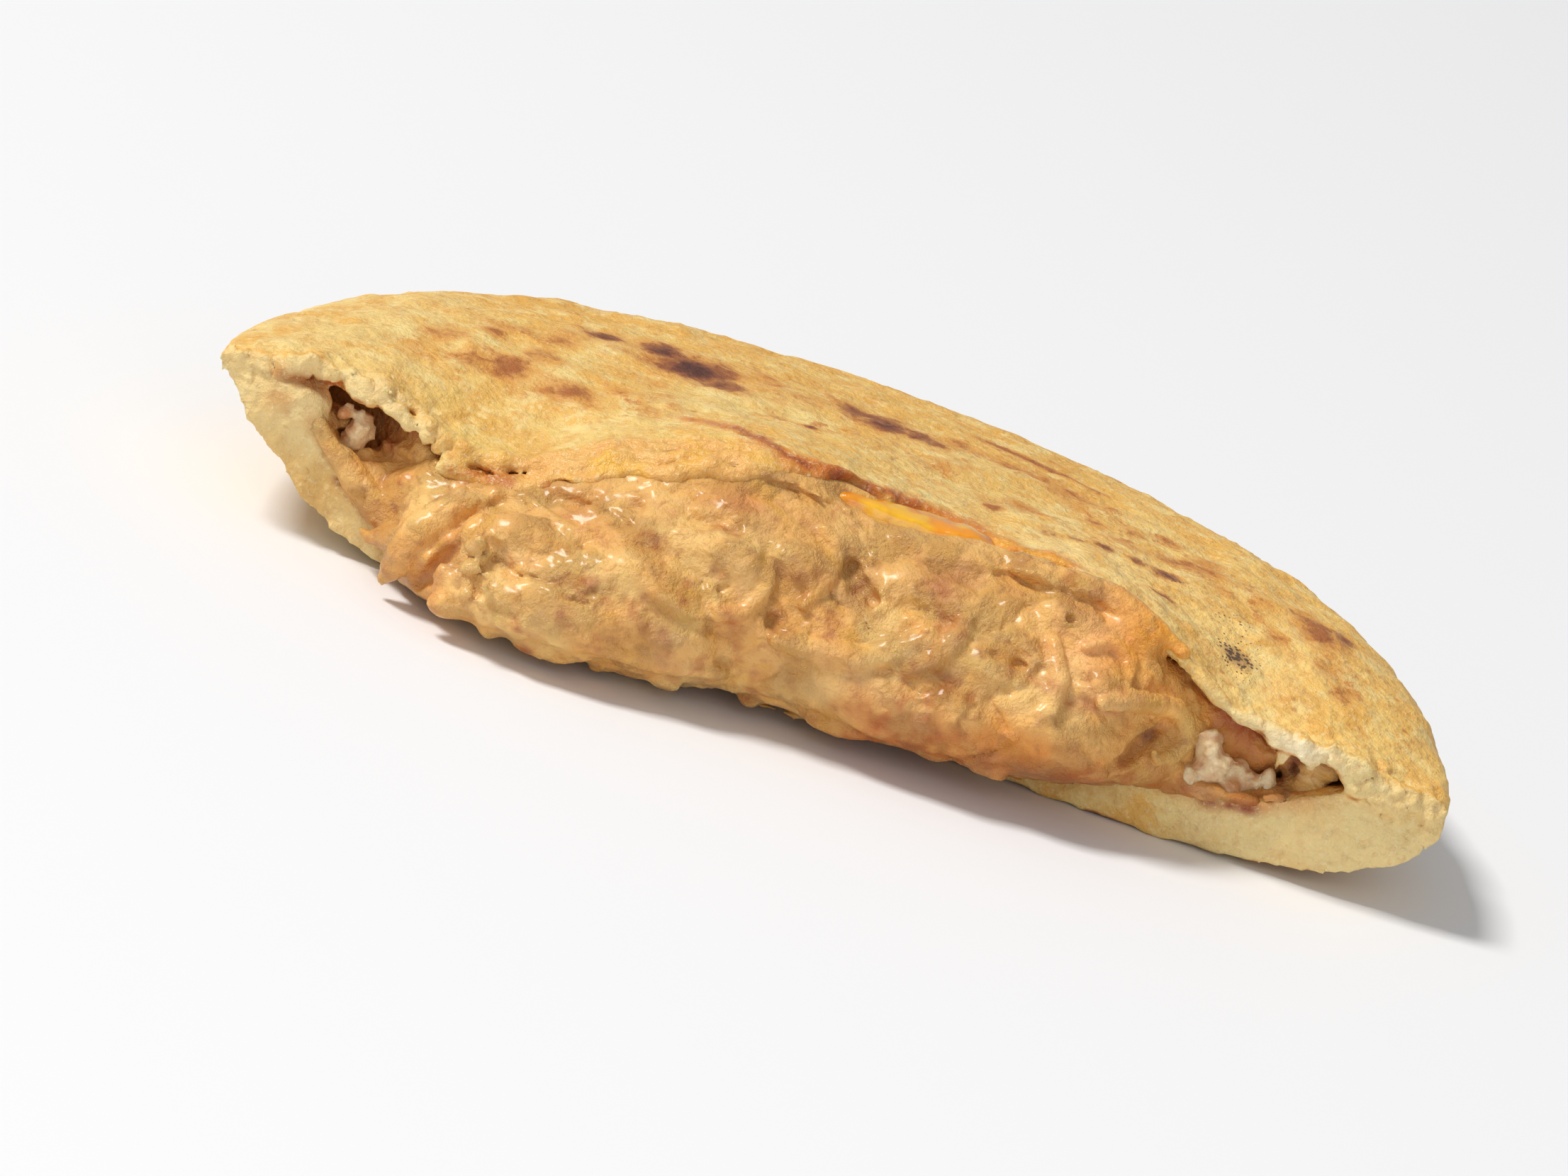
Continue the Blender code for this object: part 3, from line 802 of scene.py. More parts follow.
def filling_piece():
    """The filling: it fills the pocket, and its front bulges out of the tear in lobes and folds."""
    ys = np.concatenate([steps(-23.1, 4.2, FILLING_STEP), steps(5.0, 8.0, 0.8), steps(10.0, 60.0, 2.0)])
    grid = Field(steps(-58.8, 58.8, FILLING_STEP), ys, steps(-0.42, 25.2, FILLING_STEP))
    x, y, z = grid.x, grid.y, grid.z
    hang = np.maximum(np.maximum(y - 0.3, lobe_bottom(x) - z), z - through(FLOOR_HEIGHT, x) - 2)
    front = grid.upright(front_place)
    slopes = np.gradient(front[:, 0, :], grid.axes[0], grid.axes[2])
    steep = np.sqrt(1 + slopes[0] ** 2 + slopes[1] ** 2)[:, None, :]
    ahead = (front - y) / np.minimum(steep, 4)
    grid.value = np.maximum(ahead + 0.9, np.minimum(pocket_form(grid, 0.8), hang))
    grid.blobs(END_LUMPS, 1.0)
    for line in SMEARS:
        grid.roll(line, 0.5)
    grid.roughen(folded, *FRONT_PART, WIDE_BAND)
    grid.roughen(sunk, (-42, -8, 12), (36, 8.5, 25), WIDE_BAND)
    spots = [lobe[:2] for lobe in LOBES] + [knot[:2] for line, _ in FOLDS for knot in line]
    faces = {place: grid.face(*place) for place in spots}
    for x, z, wide, high, reach, tilt in LOBES:
        deep = min(wide, high)
        place = (x, faces[x, z] + deep - 0.65 * reach, z)
        grid.blob(place, (wide, deep, high), 1.0, tilt=math.radians(tilt))
    for line, reach in FOLDS:
        grid.roll([(x, faces[x, z] + size - 0.7 * reach, z, size) for x, z, size in line], 0.4)
    grid.roll(FLAP, 0.4)
    for line in (RECESS, ARCH):
        grid.roll([(x, grid.face(x, z) + 0.3, z, size) for x, z, size in line], 0.6, cut=True)
    grid.roll([(x, y - 0.05, z - 1.05 * thick, 1.2 * thick) for x, y, z, thick in ledge_rope(1.0)], 1.6)
    grid.roll(lip_rope(), 1.6)
    grid.blobs(SHOULDERS, 1.2)
    for x, y, z, size in clump():
        grid.blob((x, grid.face(x, z) + y, z), (size, size, size), 0.15)
    for x, z, wide, deep, high in PITS:
        grid.blob((x, grid.face(x, z) + 0.1, z), (wide, deep, high), 0.6, cut=True)
    grid.roughen(wrinkled, *FRONT_PART)
    grid.value = np.maximum(grid.value, LOWEST_FILLING - grid.z)
    piece = grid.mesh("bean_and_cheese_filling")
    thin_out(piece, FILLING_TRIANGLES)
    return piece


# --------------------------------------------------------------------------- colours


def srgb(red, green, blue):
    """A display colour as light."""
    parts = np.array([red, green, blue]) / 255
    return np.where(parts <= 0.04045, parts / 12.92, ((parts + 0.055) / 1.055) ** 2.4)


def spot(points, x, y, wide, deep, turn=0.0):
    """A soft round or oval mark, 1 in its middle, by the first two numbers of each point."""
    c, s = math.cos(math.radians(turn)), math.sin(math.radians(turn))
    dx, dy = points[:, 0] - x, points[:, 1] - y
    return np.exp(-(((c * dx + s * dy) / wide) ** 2) - ((c * dy - s * dx) / deep) ** 2)


def marks(points, table, wider=1, deeper=1):
    """The strongest of some spots: (two places, half width, half depth, turn if any, strength)."""
    best = np.zeros(len(points))
    for at_x, at_y, wide, deep, *turn, strength in table:
        mark = spot(points, at_x, at_y, wider * wide, deeper * deep, *turn)
        best = np.maximum(best, strength * mark)
    return best


def streak(points, line, wide):
    """A soft mark along a line of (x, y) points on the top."""
    best = np.full(len(points), 99.0)
    for (ax, ay), (bx, by) in zip(line[:-1], line[1:]):
        dx, dy = bx - ax, by - ay
        t = np.clip(((points[:, 0] - ax) * dx + (points[:, 1] - ay) * dy) / (dx * dx + dy * dy), 0, 1)
        best = np.minimum(best, np.hypot(points[:, 0] - ax - t * dx, points[:, 1] - ay - t * dy))
    return np.exp(-((best / wide) ** 2))


def paint(piece, base, coats):
    """Gives each point a display colour: a base, then coats of (colour, share at each point)."""
    colour = np.repeat(srgb(*base)[None, :], len(piece.data.vertices), 0)
    for hue, share in coats:
        share = np.clip(share, 0, 1)[:, None]
        colour = colour * (1 - share) + srgb(*hue) * share
    layer = piece.data.attributes.new("paint", "FLOAT_COLOR", "POINT")
    four = np.concatenate([np.clip(colour, 0, 1), np.ones((len(colour), 1))], 1)
    layer.data.foreach_set("color", np.ravel(four).astype(np.float32))


def write_shares(piece, **shares):
    for name, share in shares.items():
        layer = piece.data.attributes.new(name, "FLOAT", "POINT")
        layer.data.foreach_set("value", np.clip(share, 0, 1).astype(np.float32))


PALE = (236, 206, 130)
CREAM = (230, 190, 104)
GOLD = (228, 170, 70)
TOASTED = (204, 140, 62)
CRUMB = (238, 212, 150)
INSIDE = (214, 112, 38)

# Marks of the griddle on the top: (x, y, half width, half depth, turn if any, strength).
CHAR_MARKS = [
    (-30.6, 32.7, 1.6, 1.8, -20, 0.75), (-24.6, 34, 1.6, 2, -20, 0.9), (-20.6, 31, 2.6, 3, -40, 1),
    (-17.4, 28.4, 1.6, 2, -40, 0.8), (-3.3, 35, 1.8, 1.8, -20, 0.7), (0, 33.5, 2, 2.2, -20, 0.85),
    (3.8, 33, 1.6, 1.4, -10, 0.8), (50.9, 22.7, 1.4, 2.4, 0.5), (18.8, 12.7, 0.9, 0.6, 30, 0.6),
    (21.6, 14.4, 1.1, 0.6, 35, 0.5), (24.8, 16.2, 1, 0.7, 35, 0.7), (28.2, 16.9, 1.1, 0.8, 10, 0.6),
    (31.6, 17.4, 1.1, 1, 10, 0.9), (31.6, 10.2, 0.9, 0.9, 0.7), (-7.4, 21.6, 0.7, 0.5, 0.7),
]
BROWN_MARKS = [
    (-45.4, 19, 1.8, 2.2, 0.5), (-42, 14.5, 2, 2, 0.55), (-38.2, 15.4, 2.4, 2.2, 0.8),
    (-35.6, 20.4, 2, 2, 0.6), (-33.9, 28.2, 1.6, 2.4, 0.6), (-31.4, 13.2, 2.8, 2, -10, 0.75),
    (-17.8, 34.9, 1.4, 2.4, 0.65), (-13.4, 36.3, 1.6, 2.4, 0.5), (-47.7, 12.8, 1.4, 2.2, 0.4),
    (12.7, 16.5, 1, 1.2, 0.7), (31.1, 23.8, 1.5, 1.3, 0.65), (33.8, 25.6, 1.3, 1.2, 0.7),
    (36.6, 24.7, 1.3, 1.2, 0.65), (27.6, 27.9, 1.3, 1.6, 0.55), (31.4, 30.9, 1.4, 1.6, 0.45),
    (23.4, 25.8, 1.6, 1.4, 0.55), (31.4, 10, 0.9, 1, 0.6), (48.2, 21.4, 2.6, 3.4, 25, 0.85),
    (50.1, 13.5, 1.4, 2, 0.45), (52, 10.3, 1.6, 2, 0.45), (-7.4, 21.6, 0.8, 0.8, 0.5),
    (22.2, 33, 1.2, 1.4, 0.55), (8, 27, 1.6, 1.6, 0.5), (16, 22, 1.4, 1.2, 0.5), (8, 37, 2.4, 1.6, 0.6),
    (14, 36, 2, 1.6, 0.6), (19, 34.5, 1.8, 1.4, 0.6), (26, 22, 1.6, 1.2, 0.5), (21, 29, 1.8, 1.4, 0.5),
    (36, 29, 1.6, 1.4, 0.5), (-24, 22, 1.8, 1.6, 0.4), (-27, 16, 1.6, 1.4, 0.5), (-41, 24, 1.6, 1.6, 0.5),
    (44, 15, 1.2, 1.6, 0.5), (42, 22, 1.2, 1.2, 0.4), (-12, 28, 1.2, 1.2, 0.4),
]
PEPPER = [(40.6, 7.9, 2.6, 2.4, 1), (39.5, 13, 3.2, 5, 0.45), (32.5, 16.8, 2, 1.6, 0.6)]
FRIED_SPOTS = [(1.7, 20.8, 0.8, 0.6, 0.9), (21, 1.5, 0.6, 0.5, 0.9)]
# Soft streaks on the top: lines of (x, y), and how wide the toasted ones are.
BACK_STREAK = [(9.8, 43.5), (15.9, 41.4), (20.0, 40.2), (23.0, 39.2)]
GOLD_STREAK = [(-52, 3), (-47, 2.5), (-40, 4), (-33, 9), (-27, 12)]
TOASTED_BANDS = [
    ([(-47, 15), (-38, 16), (-31, 13.4), (-24, 13.6)], 4.5), ([(-40, 26), (-30, 30), (-14, 34)], 4),
    ([(-14, 35), (0, 34.5), (10, 37), (22, 34), (34, 27)], 5),
    ([(24, 24), (34, 25), (44, 20), (52, 14)], 4.5), ([(2, 24), (14, 20), (24, 20)], 3),
    ([(-12, 20), (-2, 26), (8, 28)], 2.5),
]
FRY_STREAK = [
    (-19.4, 9.6), (-14.2, 7.1), (-10.5, 3.6), (-8.6, 2.4), (-5.6, 2.6), (-2.6, 3.6), (1.6, 5.6), (5, 7.2),
    (8.4, 7.8), (11.7, 6.6), (14.1, 4.8), (17.1, 3.2), (20.8, 1.8),
]
# Orange-brown painted shade in the creases where the skin's edge meets the filling; and a crack. Both are
# lines of (x, height).
GROOVE_SHADE_LINES = [
    [(-39.6, 13.2), (-36.6, 13.9), (-33.6, 14.4)], [(-30, 15), (-27, 15.5), (-24.4, 16.4)],
    [(-21.4, 17.3), (-20.6, 17.5)], [(-15.4, 19.3), (-12, 20), (-9.2, 20.5)],
]
CRACK = [(-59, 15.9), (-52, 16)]
# Dark bits of bean in the torn crust: (x, height, half width).
BEANS = [(42.4, 5.7, 1.3), (46.3, 6.1, 1.2), (44.4, 5.9, 0.8), (-50, 7.2, 0.7)]


# Painted shade along the creases under the skin's edge.
def groove_shade(seen):
    return np.max([streak(seen, line, 0.55) for line in GROOVE_SHADE_LINES], 0)


def paint_dough(piece):
    points, normals = points_of(piece)
    x, y, z = points.T
    seen = points[:, ::2]  # places as seen from the front: x and height
    inside = in_pocket(points)
    outer = 1 - inside
    torn = outer * (1 - ease(0.6, 2.2, y - tear_place(x, z))) * ease(0.15, 0.55, -normals[:, 1])
    dry = np.clip((1 - ease(-45, -39, x)) + ease(36, 42, x), 0, 1)
    upper = ease(0.1, 0.6, normals[:, 2]) * outer
    side = ease(0.5, 0.1, normals[:, 2]) * outer
    skin = inner_skin(points) * outer
    to_rim = share_of_radius(x, y)
    broad = rough(points * (1, 0.7, 1), 11.0, 201, 3)
    mid = rough(points, 4.5, 211, 3)
    back_gold = ease(14, 44, y) * 0.55 + ease(0.72, 0.97, to_rim) * 0.35
    right_gold = ease(34, 52, x) * ease(4, 14, y) * 0.25
    left_gold = ease(-52, -42, x) * (1 - ease(-36, -26, x)) * (1 - ease(8, 22, y)) * 0.25
    clear = ease(8, 24, x) * (1 - ease(44, 54, x)) * (1 - ease(16, 28, y)) * upper
    toasted = 0.25 * upper
    for line, wide in TOASTED_BANDS:
        toasted = np.maximum(toasted, streak(points, line, wide) * upper)
    left_low = (1 - ease(-52, -46, x)) * (1 - ease(6, 11, z))
    fry = streak(points, FRY_STREAK, 1.5 + 0.9 * mid) * outer
    burnt = streak(points, FRY_STREAK[1:8], 0.6) * outer
    painted_groove_shade = groove_shade(seen) * ease(-1.0, 0.0, through(TOP_LIP_PLACE, x) - y)
    under_floor = through(FLOOR_HEIGHT, x) - z
    smear = torn * (1 - ease(0.6, 2.6, under_floor)) * ease(-1.5, 0.0, under_floor)
    smear *= np.maximum(1 - ease(-43, -41, x), 0.8 * ease(37, 40, x) * (1 - ease(50, 56, x)))
    smear *= ease(-60.5, -58, x)
    smear *= 0.7 + 0.6 * rough(points, 3.0, 251, 2)
    crack = streak(seen, CRACK, 0.9) * ease(-1.4, -0.6, y) * (1 - ease(3, 4, y))
    coats = [
        (PALE, 0.5 + 0.9 * broad),
        (GOLD, upper * (back_gold + right_gold + left_gold) + 0.45 * mid),
        (PALE, upper * (1 - ease(-52, -40, x)) * 0.7),
        ((250, 216, 140), clear * 0.9),
        ((250, 204, 112), 0.5 * ease(16, 34, x) * upper),
        ((234, 200, 126), side * 0.7),
        (GOLD, streak(points, GOLD_STREAK, 2.6) * upper * 0.3),
        (TOASTED, toasted * (0.4 + 0.9 * mid)),
        (CRUMB, torn * 0.85 * dry),
        ((214, 168, 92), torn * 0.8 * left_low),
        ((230, 172, 92), skin * (0.95 + 0.3 * mid)),
        ((232, 178, 62), skin * 1.2 * (rough(points, 5.0, 231, 2) - 0.1)),
        ((212, 124, 40), fry * 1.2),
        ((156, 76, 34), burnt * (0.9 + mid)),
        ((234, 164, 44), streak(points, FRY_STREAK[-3:], 0.9) * outer),
        # painted shade in the creases under the skin's edge
        ((184, 100, 34), 0.9 * painted_groove_shade),
        ((212, 142, 72), smear),
        ((176, 108, 58), crack),
        ((252, 238, 200), torn * spot(seen, 48.5, 14.2, 3.6, 1.5)),
    ]
    for at_x, at_z, wide in BEANS:
        coats.append(((150, 66, 34), torn * spot(seen, at_x, at_z, wide, 0.55 * wide) * 1.1))
    paint(piece, CREAM, coats + [(INSIDE, inside)])
    char = np.maximum(marks(points, CHAR_MARKS, 1.25, 1.35), marks(points, FRIED_SPOTS))
    brown = np.maximum(1.1 * marks(points, BROWN_MARKS, 1.3, 1.4), 0.75 * marks(points, CHAR_MARKS, 2.4, 2.2))
    brown = np.maximum(brown, 0.8 * streak(points, BACK_STREAK, 1.0))
    under = ease(0.2, 0.8, -normals[:, 2]) * outer * (1 - ease(0.75, 0.98, to_rim))
    under *= ease(-0.1, 0.5, rough(points, 9.0, 221, 3))
    write_shares(
        piece,
        brown=np.maximum(brown * upper, under * 0.8),
        char=char * upper,
        pepper=marks(points, PEPPER) * upper,
        torn=torn * dry,
        calm=np.max([torn * dry * 0.7, skin, smear, 0.8 * fry], 0),
        toast=toasted,
        moist=np.max([inside, fry, smear, skin], 0),
    )


# Tints of the filling: (x, z, half width, half height, colour). Among them, the dark ones in the curl's hole
# (x 34.2), in the gap at x 49.3 and in the crevices low at the right (x 13.1 and 26) are painted shade, the
# one at x -11.4 is painted shade, lightened, in the groove under the skin's edge, and the pale one on the
# curl (x 37.6) is painted light on its half-shaded side.
TINTS_SHADE_AND_LIGHT = [
    (34.2, 11.2, 1, 0.7, 126, 62, 26), (37.6, 11.4, 1.4, 2.8, 255, 204, 116),
    (10.2, 19.1, 2.6, 1.2, 176, 104, 52), (13.1, 11.6, 3.4, 1.5, 164, 90, 20),
    (25.7, 18.8, 3.2, 2.4, 244, 184, 116), (26, 5.4, 5, 1.6, 170, 92, 24),
    (-11.4, 20.4, 2.4, 0.8, 226, 150, 84), (52.4, 10.4, 3, 2.6, 238, 204, 136),
    (49.3, 10.6, 0.8, 2.4, 110, 34, 14), (31.6, 20.4, 4.2, 2.4, 248, 164, 40),
    (35, 18.6, 1.6, 1.6, 240, 160, 50), (-8, 14.6, 1.6, 2.2, 238, 190, 118),
]
# Orange patches of the filling: (x, z, half width, half height). The one at x 28.5 is its own orange; the low
# one at x 22.5 is painted shade under the bulge.
RICH_AND_SHADE_PATCHES = [(28.5, 18.5, 5, 3), (22.5, 8, 6, 3)]
PALE_PATCHES = [(-33.7, 8.6, 1.9, 3.4, 8, 1.2), (4.8, 17.6, 0.9, 1.4, 1), (25, 16, 1.2, 1.6, 1)]


def paint_filling(piece):
    points, _ = points_of(piece)
    x, y, z = points.T
    seen = points[:, ::2]
    mid = rough(points, 3.0, 311, 3)
    low = (1 - ease(5, 12, z)) * ease(2, 10, x)
    rich_and_shade = sum(spot(seen, *patch) for patch in RICH_AND_SHADE_PATCHES)
    pale = marks(seen, PALE_PATCHES)
    ledge = (1 - ease(4.0, 7.0, through(TOP_LIP_HEIGHT, x) - z)) * ease(-38, -32, x) * (1 - ease(18, 28, x))
    # Painted shade in the hollows: darker the deeper each pit is, and along the recess beside the flap and
    # the hollow under the curl.
    pits = [(at_x, at_z, wide, high, min(deep / 3, 0.6)) for at_x, at_z, wide, deep, high in PITS]
    hollow_shade = marks(seen, pits, 1.2, 1.2)
    hollow_shade = np.maximum(hollow_shade, 0.6 * streak(seen, [p[:2] for p in RECESS], 1.1))
    hollow_shade = np.maximum(hollow_shade, 0.7 * streak(seen, [p[:2] for p in ARCH], 1.0))
    ends = (1 - ease(-43.5, -41, x)) + ease(38.5, 40.5, x)
    ceiling_shade = 1 - ease(2.5, 5.0, top_height(x, y) - z)
    coats = [
        ((238, 192, 114), 0.4 + 1.2 * rough(points, 7.0, 301, 3)),
        ((190, 116, 58), 1.2 * (mid - 0.15)),
        # painted shade: the lower part towards the right darker orange, as under the bulge; then the orange
        # patches, the low one painted shade too
        ((190, 98, 12), low * (0.75 + 0.5 * mid)),
        ((232, 148, 44), 0.8 * rich_and_shade),
        ((252, 200, 122), pale),
        # painted shade in the creases under the skin's edge
        ((184, 100, 34), 0.8 * groove_shade(seen) * ease(-9, -7, y)),
        # painted light: the curl's half-shaded side painted lighter
        ((255, 186, 92), spot(seen, 35.6, 12.6, 4.4, 4.4)),
        ((224, 170, 92), ledge * 0.6),
        # painted shade in the hollows, where they sink behind the front
        ((166, 88, 36), 0.75 * hollow_shade * ease(0.2, 1.0, y - front_place(x, z))),
        # painted shade in the two end hollows: darker orange further in, and red-brown under the crust's
        # ceiling
        ((214, 120, 44), ease(1.0, 3.0, y) * ends * 0.7),
        ((168, 74, 26), ceiling_shade * ease(0, 1.5, y) * ends * 0.8),
    ]
    # tints, with painted shade in the curl's hole, the gap and the crevices, and painted light on the curl
    for *patch, red, green, blue in TINTS_SHADE_AND_LIGHT:
        coats.append(((red, green, blue), 0.85 * spot(seen, *patch)))
    coats.append(((224, 166, 66), 1.1 * (rough(points, 5.0, 321, 3) - 0.3)))
    paint(piece, (228, 166, 84), coats)
    write_shares(piece, mauve=ease(0.1, 0.6, rough(points, 6.0, 331, 2)) * (1 - np.clip(pale, 0, 1)))


# --------------------------------------------------------------------------- the cheese

# Curds of the cheese in the hollows: (x, y, z, radii).
CURDS = [
    (-49.6, 1.4, 12.2, 1.5, 1.5, 1.9), (-50.6, 1.4, 9.8, 0.8, 0.9, 1.4), (-53, 0.6, 15.2, 1, 1, 0.7),
    (-54.8, 0.2, 15.5, 0.9, 1, 0.6), (-56.6, 0.1, 15.7, 0.9, 0.9, 0.5), (-51.6, 0.8, 13.8, 0.8, 0.9, 0.9),
    (-58.4, 0.1, 15.7, 0.7, 0.8, 0.4), (40.6, 0.2, 10.4, 1.5, 1.4, 1.9), (41.6, 0.4, 8, 1.6, 1.5, 1.5),
    (43.6, 1, 7.2, 1.5, 1.6, 1.2), (45.6, 1.6, 8, 1.3, 1.4, 1.2), (43.8, 1.8, 8.8, 1.2, 1.3, 1),
    (47.2, 1.6, 8.6, 0.9, 1.2, 1.1), (51.2, 0.8, 10, 1.1, 1.1, 0.8), (52.6, 1, 11.4, 1, 1.1, 0.9),
    (51.8, 1.9, 12, 1.1, 1.1, 0.9), (53.9, 0.5, 12.2, 0.7, 0.9, 0.6), (39.6, -0.6, 7.2, 1.2, 1.2, 1),
    (42.2, 0.2, 9.4, 1.2, 1.2, 1.3), (44.8, 0.8, 6.8, 1.4, 1.2, 0.9),
]
# Cheese that oozed out and fried where the lip is torn back: (x, y, z, radii).
OOZE = [
    (-1.6, 3.6, 21.6, 2.4, 1.6, 0.8), (2.4, 3.8, 21.1, 4.2, 2.8, 1.2), (6.8, 4.6, 20.8, 4.4, 3.6, 1.5),
    (10.8, 4.2, 21.2, 3.4, 3, 1.3),
]


def curd_piece(name, low, high):
    """The pale curds that show in one end's hollow."""
    grid = Field(steps(low, high, CHEESE_STEP), steps(-2.5, 5, CHEESE_STEP), steps(4, 18, CHEESE_STEP))
    grid.blobs([curd for curd in CURDS if low < curd[0] < high], 0.5)

    def grainy(points):
        away, own = grains(points, 0.9, 401)
        return 0.5 * rough(points, 1.8, 411, 2) - (0.45 - away) * (0.3 + 0.5 * own)

    grid.roughen(grainy, (low, -2.5, 4), (high, 5, 18))
    piece = grid.mesh(name)
    points, _ = points_of(piece)
    paint(piece, (240, 214, 168), [((210, 150, 96), 1.5 * rough(points, 2.4, 421, 2) + 0.2)])
    return piece


def ooze_piece():
    """A translucent slab of cheese fried to the lip, flat in front."""
    grid = Field(steps(-5, 16, CHEESE_STEP), steps(1, 10, CHEESE_STEP), steps(18.5, 24.0, CHEESE_STEP))
    grid.blobs(OOZE, 1.0)
    grid.value = np.maximum(grid.value, 2.0 + 0.3 * (grid.z - 21) - grid.y)
    grid.roughen(lambda points: 0.2 * rough(points, 2.6, 431, 2), (-5, 1, 18), (16, 10, 25))
    piece = grid.mesh("fried_cheese")
    points, _ = points_of(piece)
    behind = streak(points, FRY_STREAK, 0.9 + 0.5 * rough(points, 2.0, 441, 2))
    deeper = 0.3 + 1.6 * rough(points, 3.0, 451, 2)
    paint(piece, (240, 180, 30), [((232, 146, 8), deeper), ((178, 84, 24), behind)])
    return piece


# --------------------------------------------------------------------------- materials


def light(red, green, blue):
    return (*(float(c) for c in srgb(red, green, blue)), 1)


class Shader:
    """Builds the nodes of one material."""

    def __init__(self, name):
        self.material = bpy.data.materials.new(name)
        self.material.use_nodes = True
        self.nodes = self.material.node_tree.nodes
        self.links = self.material.node_tree.links
        self.surface = self.nodes["Principled BSDF"]
        self.place = self.nodes.new("ShaderNodeTexCoord").outputs["Object"]
        self.colour = None

    def put(self, socket, value):
        if isinstance(value, bpy.types.NodeSocket):
            self.links.new(value, socket)
        else:
            socket.default_value = value

    def layer(self, name, output="Fac"):
        """What the points carry under a name."""
        node = self.nodes.new("ShaderNodeAttribute")
        node.attribute_name = name
        return node.outputs[output]

    def noise(self, size, detail=3.0, lump=0.55, warp=0.0):
        """Noise from 0 to 1 whose waves are about a size in millimetres across."""
        node = self.nodes.new("ShaderNodeTexNoise")
        self.links.new(self.place, node.inputs["Vector"])
        node.inputs["Scale"].default_value = 1000 / size
        node.inputs["Detail"].default_value = detail
        node.inputs["Roughness"].default_value = lump
        node.inputs["Distortion"].default_value = warp
        return node.outputs["Fac"]

    def cells(self, size, feature="F1"):
        """Distance to scattered points about a size in millimetres apart."""
        node = self.nodes.new("ShaderNodeTexVoronoi")
        node.feature = feature
        self.links.new(self.place, node.inputs["Vector"])
        node.inputs["Scale"].default_value = 1000 / size
        return node.outputs["Distance"]

    def math(self, kind, a, b):
        node = self.nodes.new("ShaderNodeMath")
        node.operation = kind
        self.put(node.inputs[0], a)
        self.put(node.inputs[1], b)
        return node.outputs[0]

    def plus(self, a, b):
        return self.math("ADD", a, b)

    def minus(self, a, b):
        return self.math("SUBTRACT", a, b)

    def times(self, a, b):
        return self.math("MULTIPLY", a, b)

    def rise(self, value, low, high, start=0.0, end=1.0):
        """start below low and end above high, with a smooth step between."""
        node = self.nodes.new("ShaderNodeMapRange")
        node.interpolation_type = "SMOOTHSTEP"
        names = ("Value", "From Min", "From Max", "To Min", "To Max")
        for name, number in zip(names, (value, low, high, start, end)):
            self.put(node.inputs[name], number)
        return node.outputs[0]

    def tint(self, share, *hue):
        """Turns the colour so far towards a display colour, by a share."""
        node = self.nodes.new("ShaderNodeMix")
        node.data_type = "RGBA"
        for socket, value in ((0, share), (6, self.colour), (7, light(*hue))):
            self.put(node.inputs[socket], value)
        self.colour = node.outputs[2]

    def bump(self, height, strength, reach):
        """Shading relief, as deep as a reach in millimetres."""
        node = self.nodes.new("ShaderNodeBump")
        self.put(node.inputs["Height"], height)
        self.put(node.inputs["Strength"], strength)
        node.inputs["Distance"].default_value = reach * MM
        return node.outputs[0]

    def set(self, **values):
        for name, value in values.items():
            self.put(self.surface.inputs[name.replace("_", " ")], value)


# Patches of the dough's skin: (noise's size, detail, roughness and warp, step from and to, share, colour).
SKIN_PATCHES = [
    (6.5, 4, 0.6, 0.5, 0.46, 0.62, 0.85, (230, 176, 84)),
    (3.4, 5, 0.65, 0, 0.5, 0.64, 0.6, (240, 216, 146)),
    (2.3, 5, 0.65, 0.3, 0.54, 0.68, 0.55, (214, 150, 62)),
]
# Burns, outwards in: (layer, raggedness, step from and to, fade from and to, share, colour).
BURNS = [
    ("brown", 0.6, 0.08, 0.5, 0.02, 0.16, 0.7, (214, 146, 64)),
    ("brown", 1.5, 0.35, 0.85, 0.05, 0.25, 0.85, (158, 86, 38)),
    ("char", 1, 0.12, 0.5, 0.04, 0.3, 0.8, (140, 76, 44)),
    ("char", 1, 0.45, 0.95, 0.2, 0.5, 0.9, (72, 34, 26)),
]


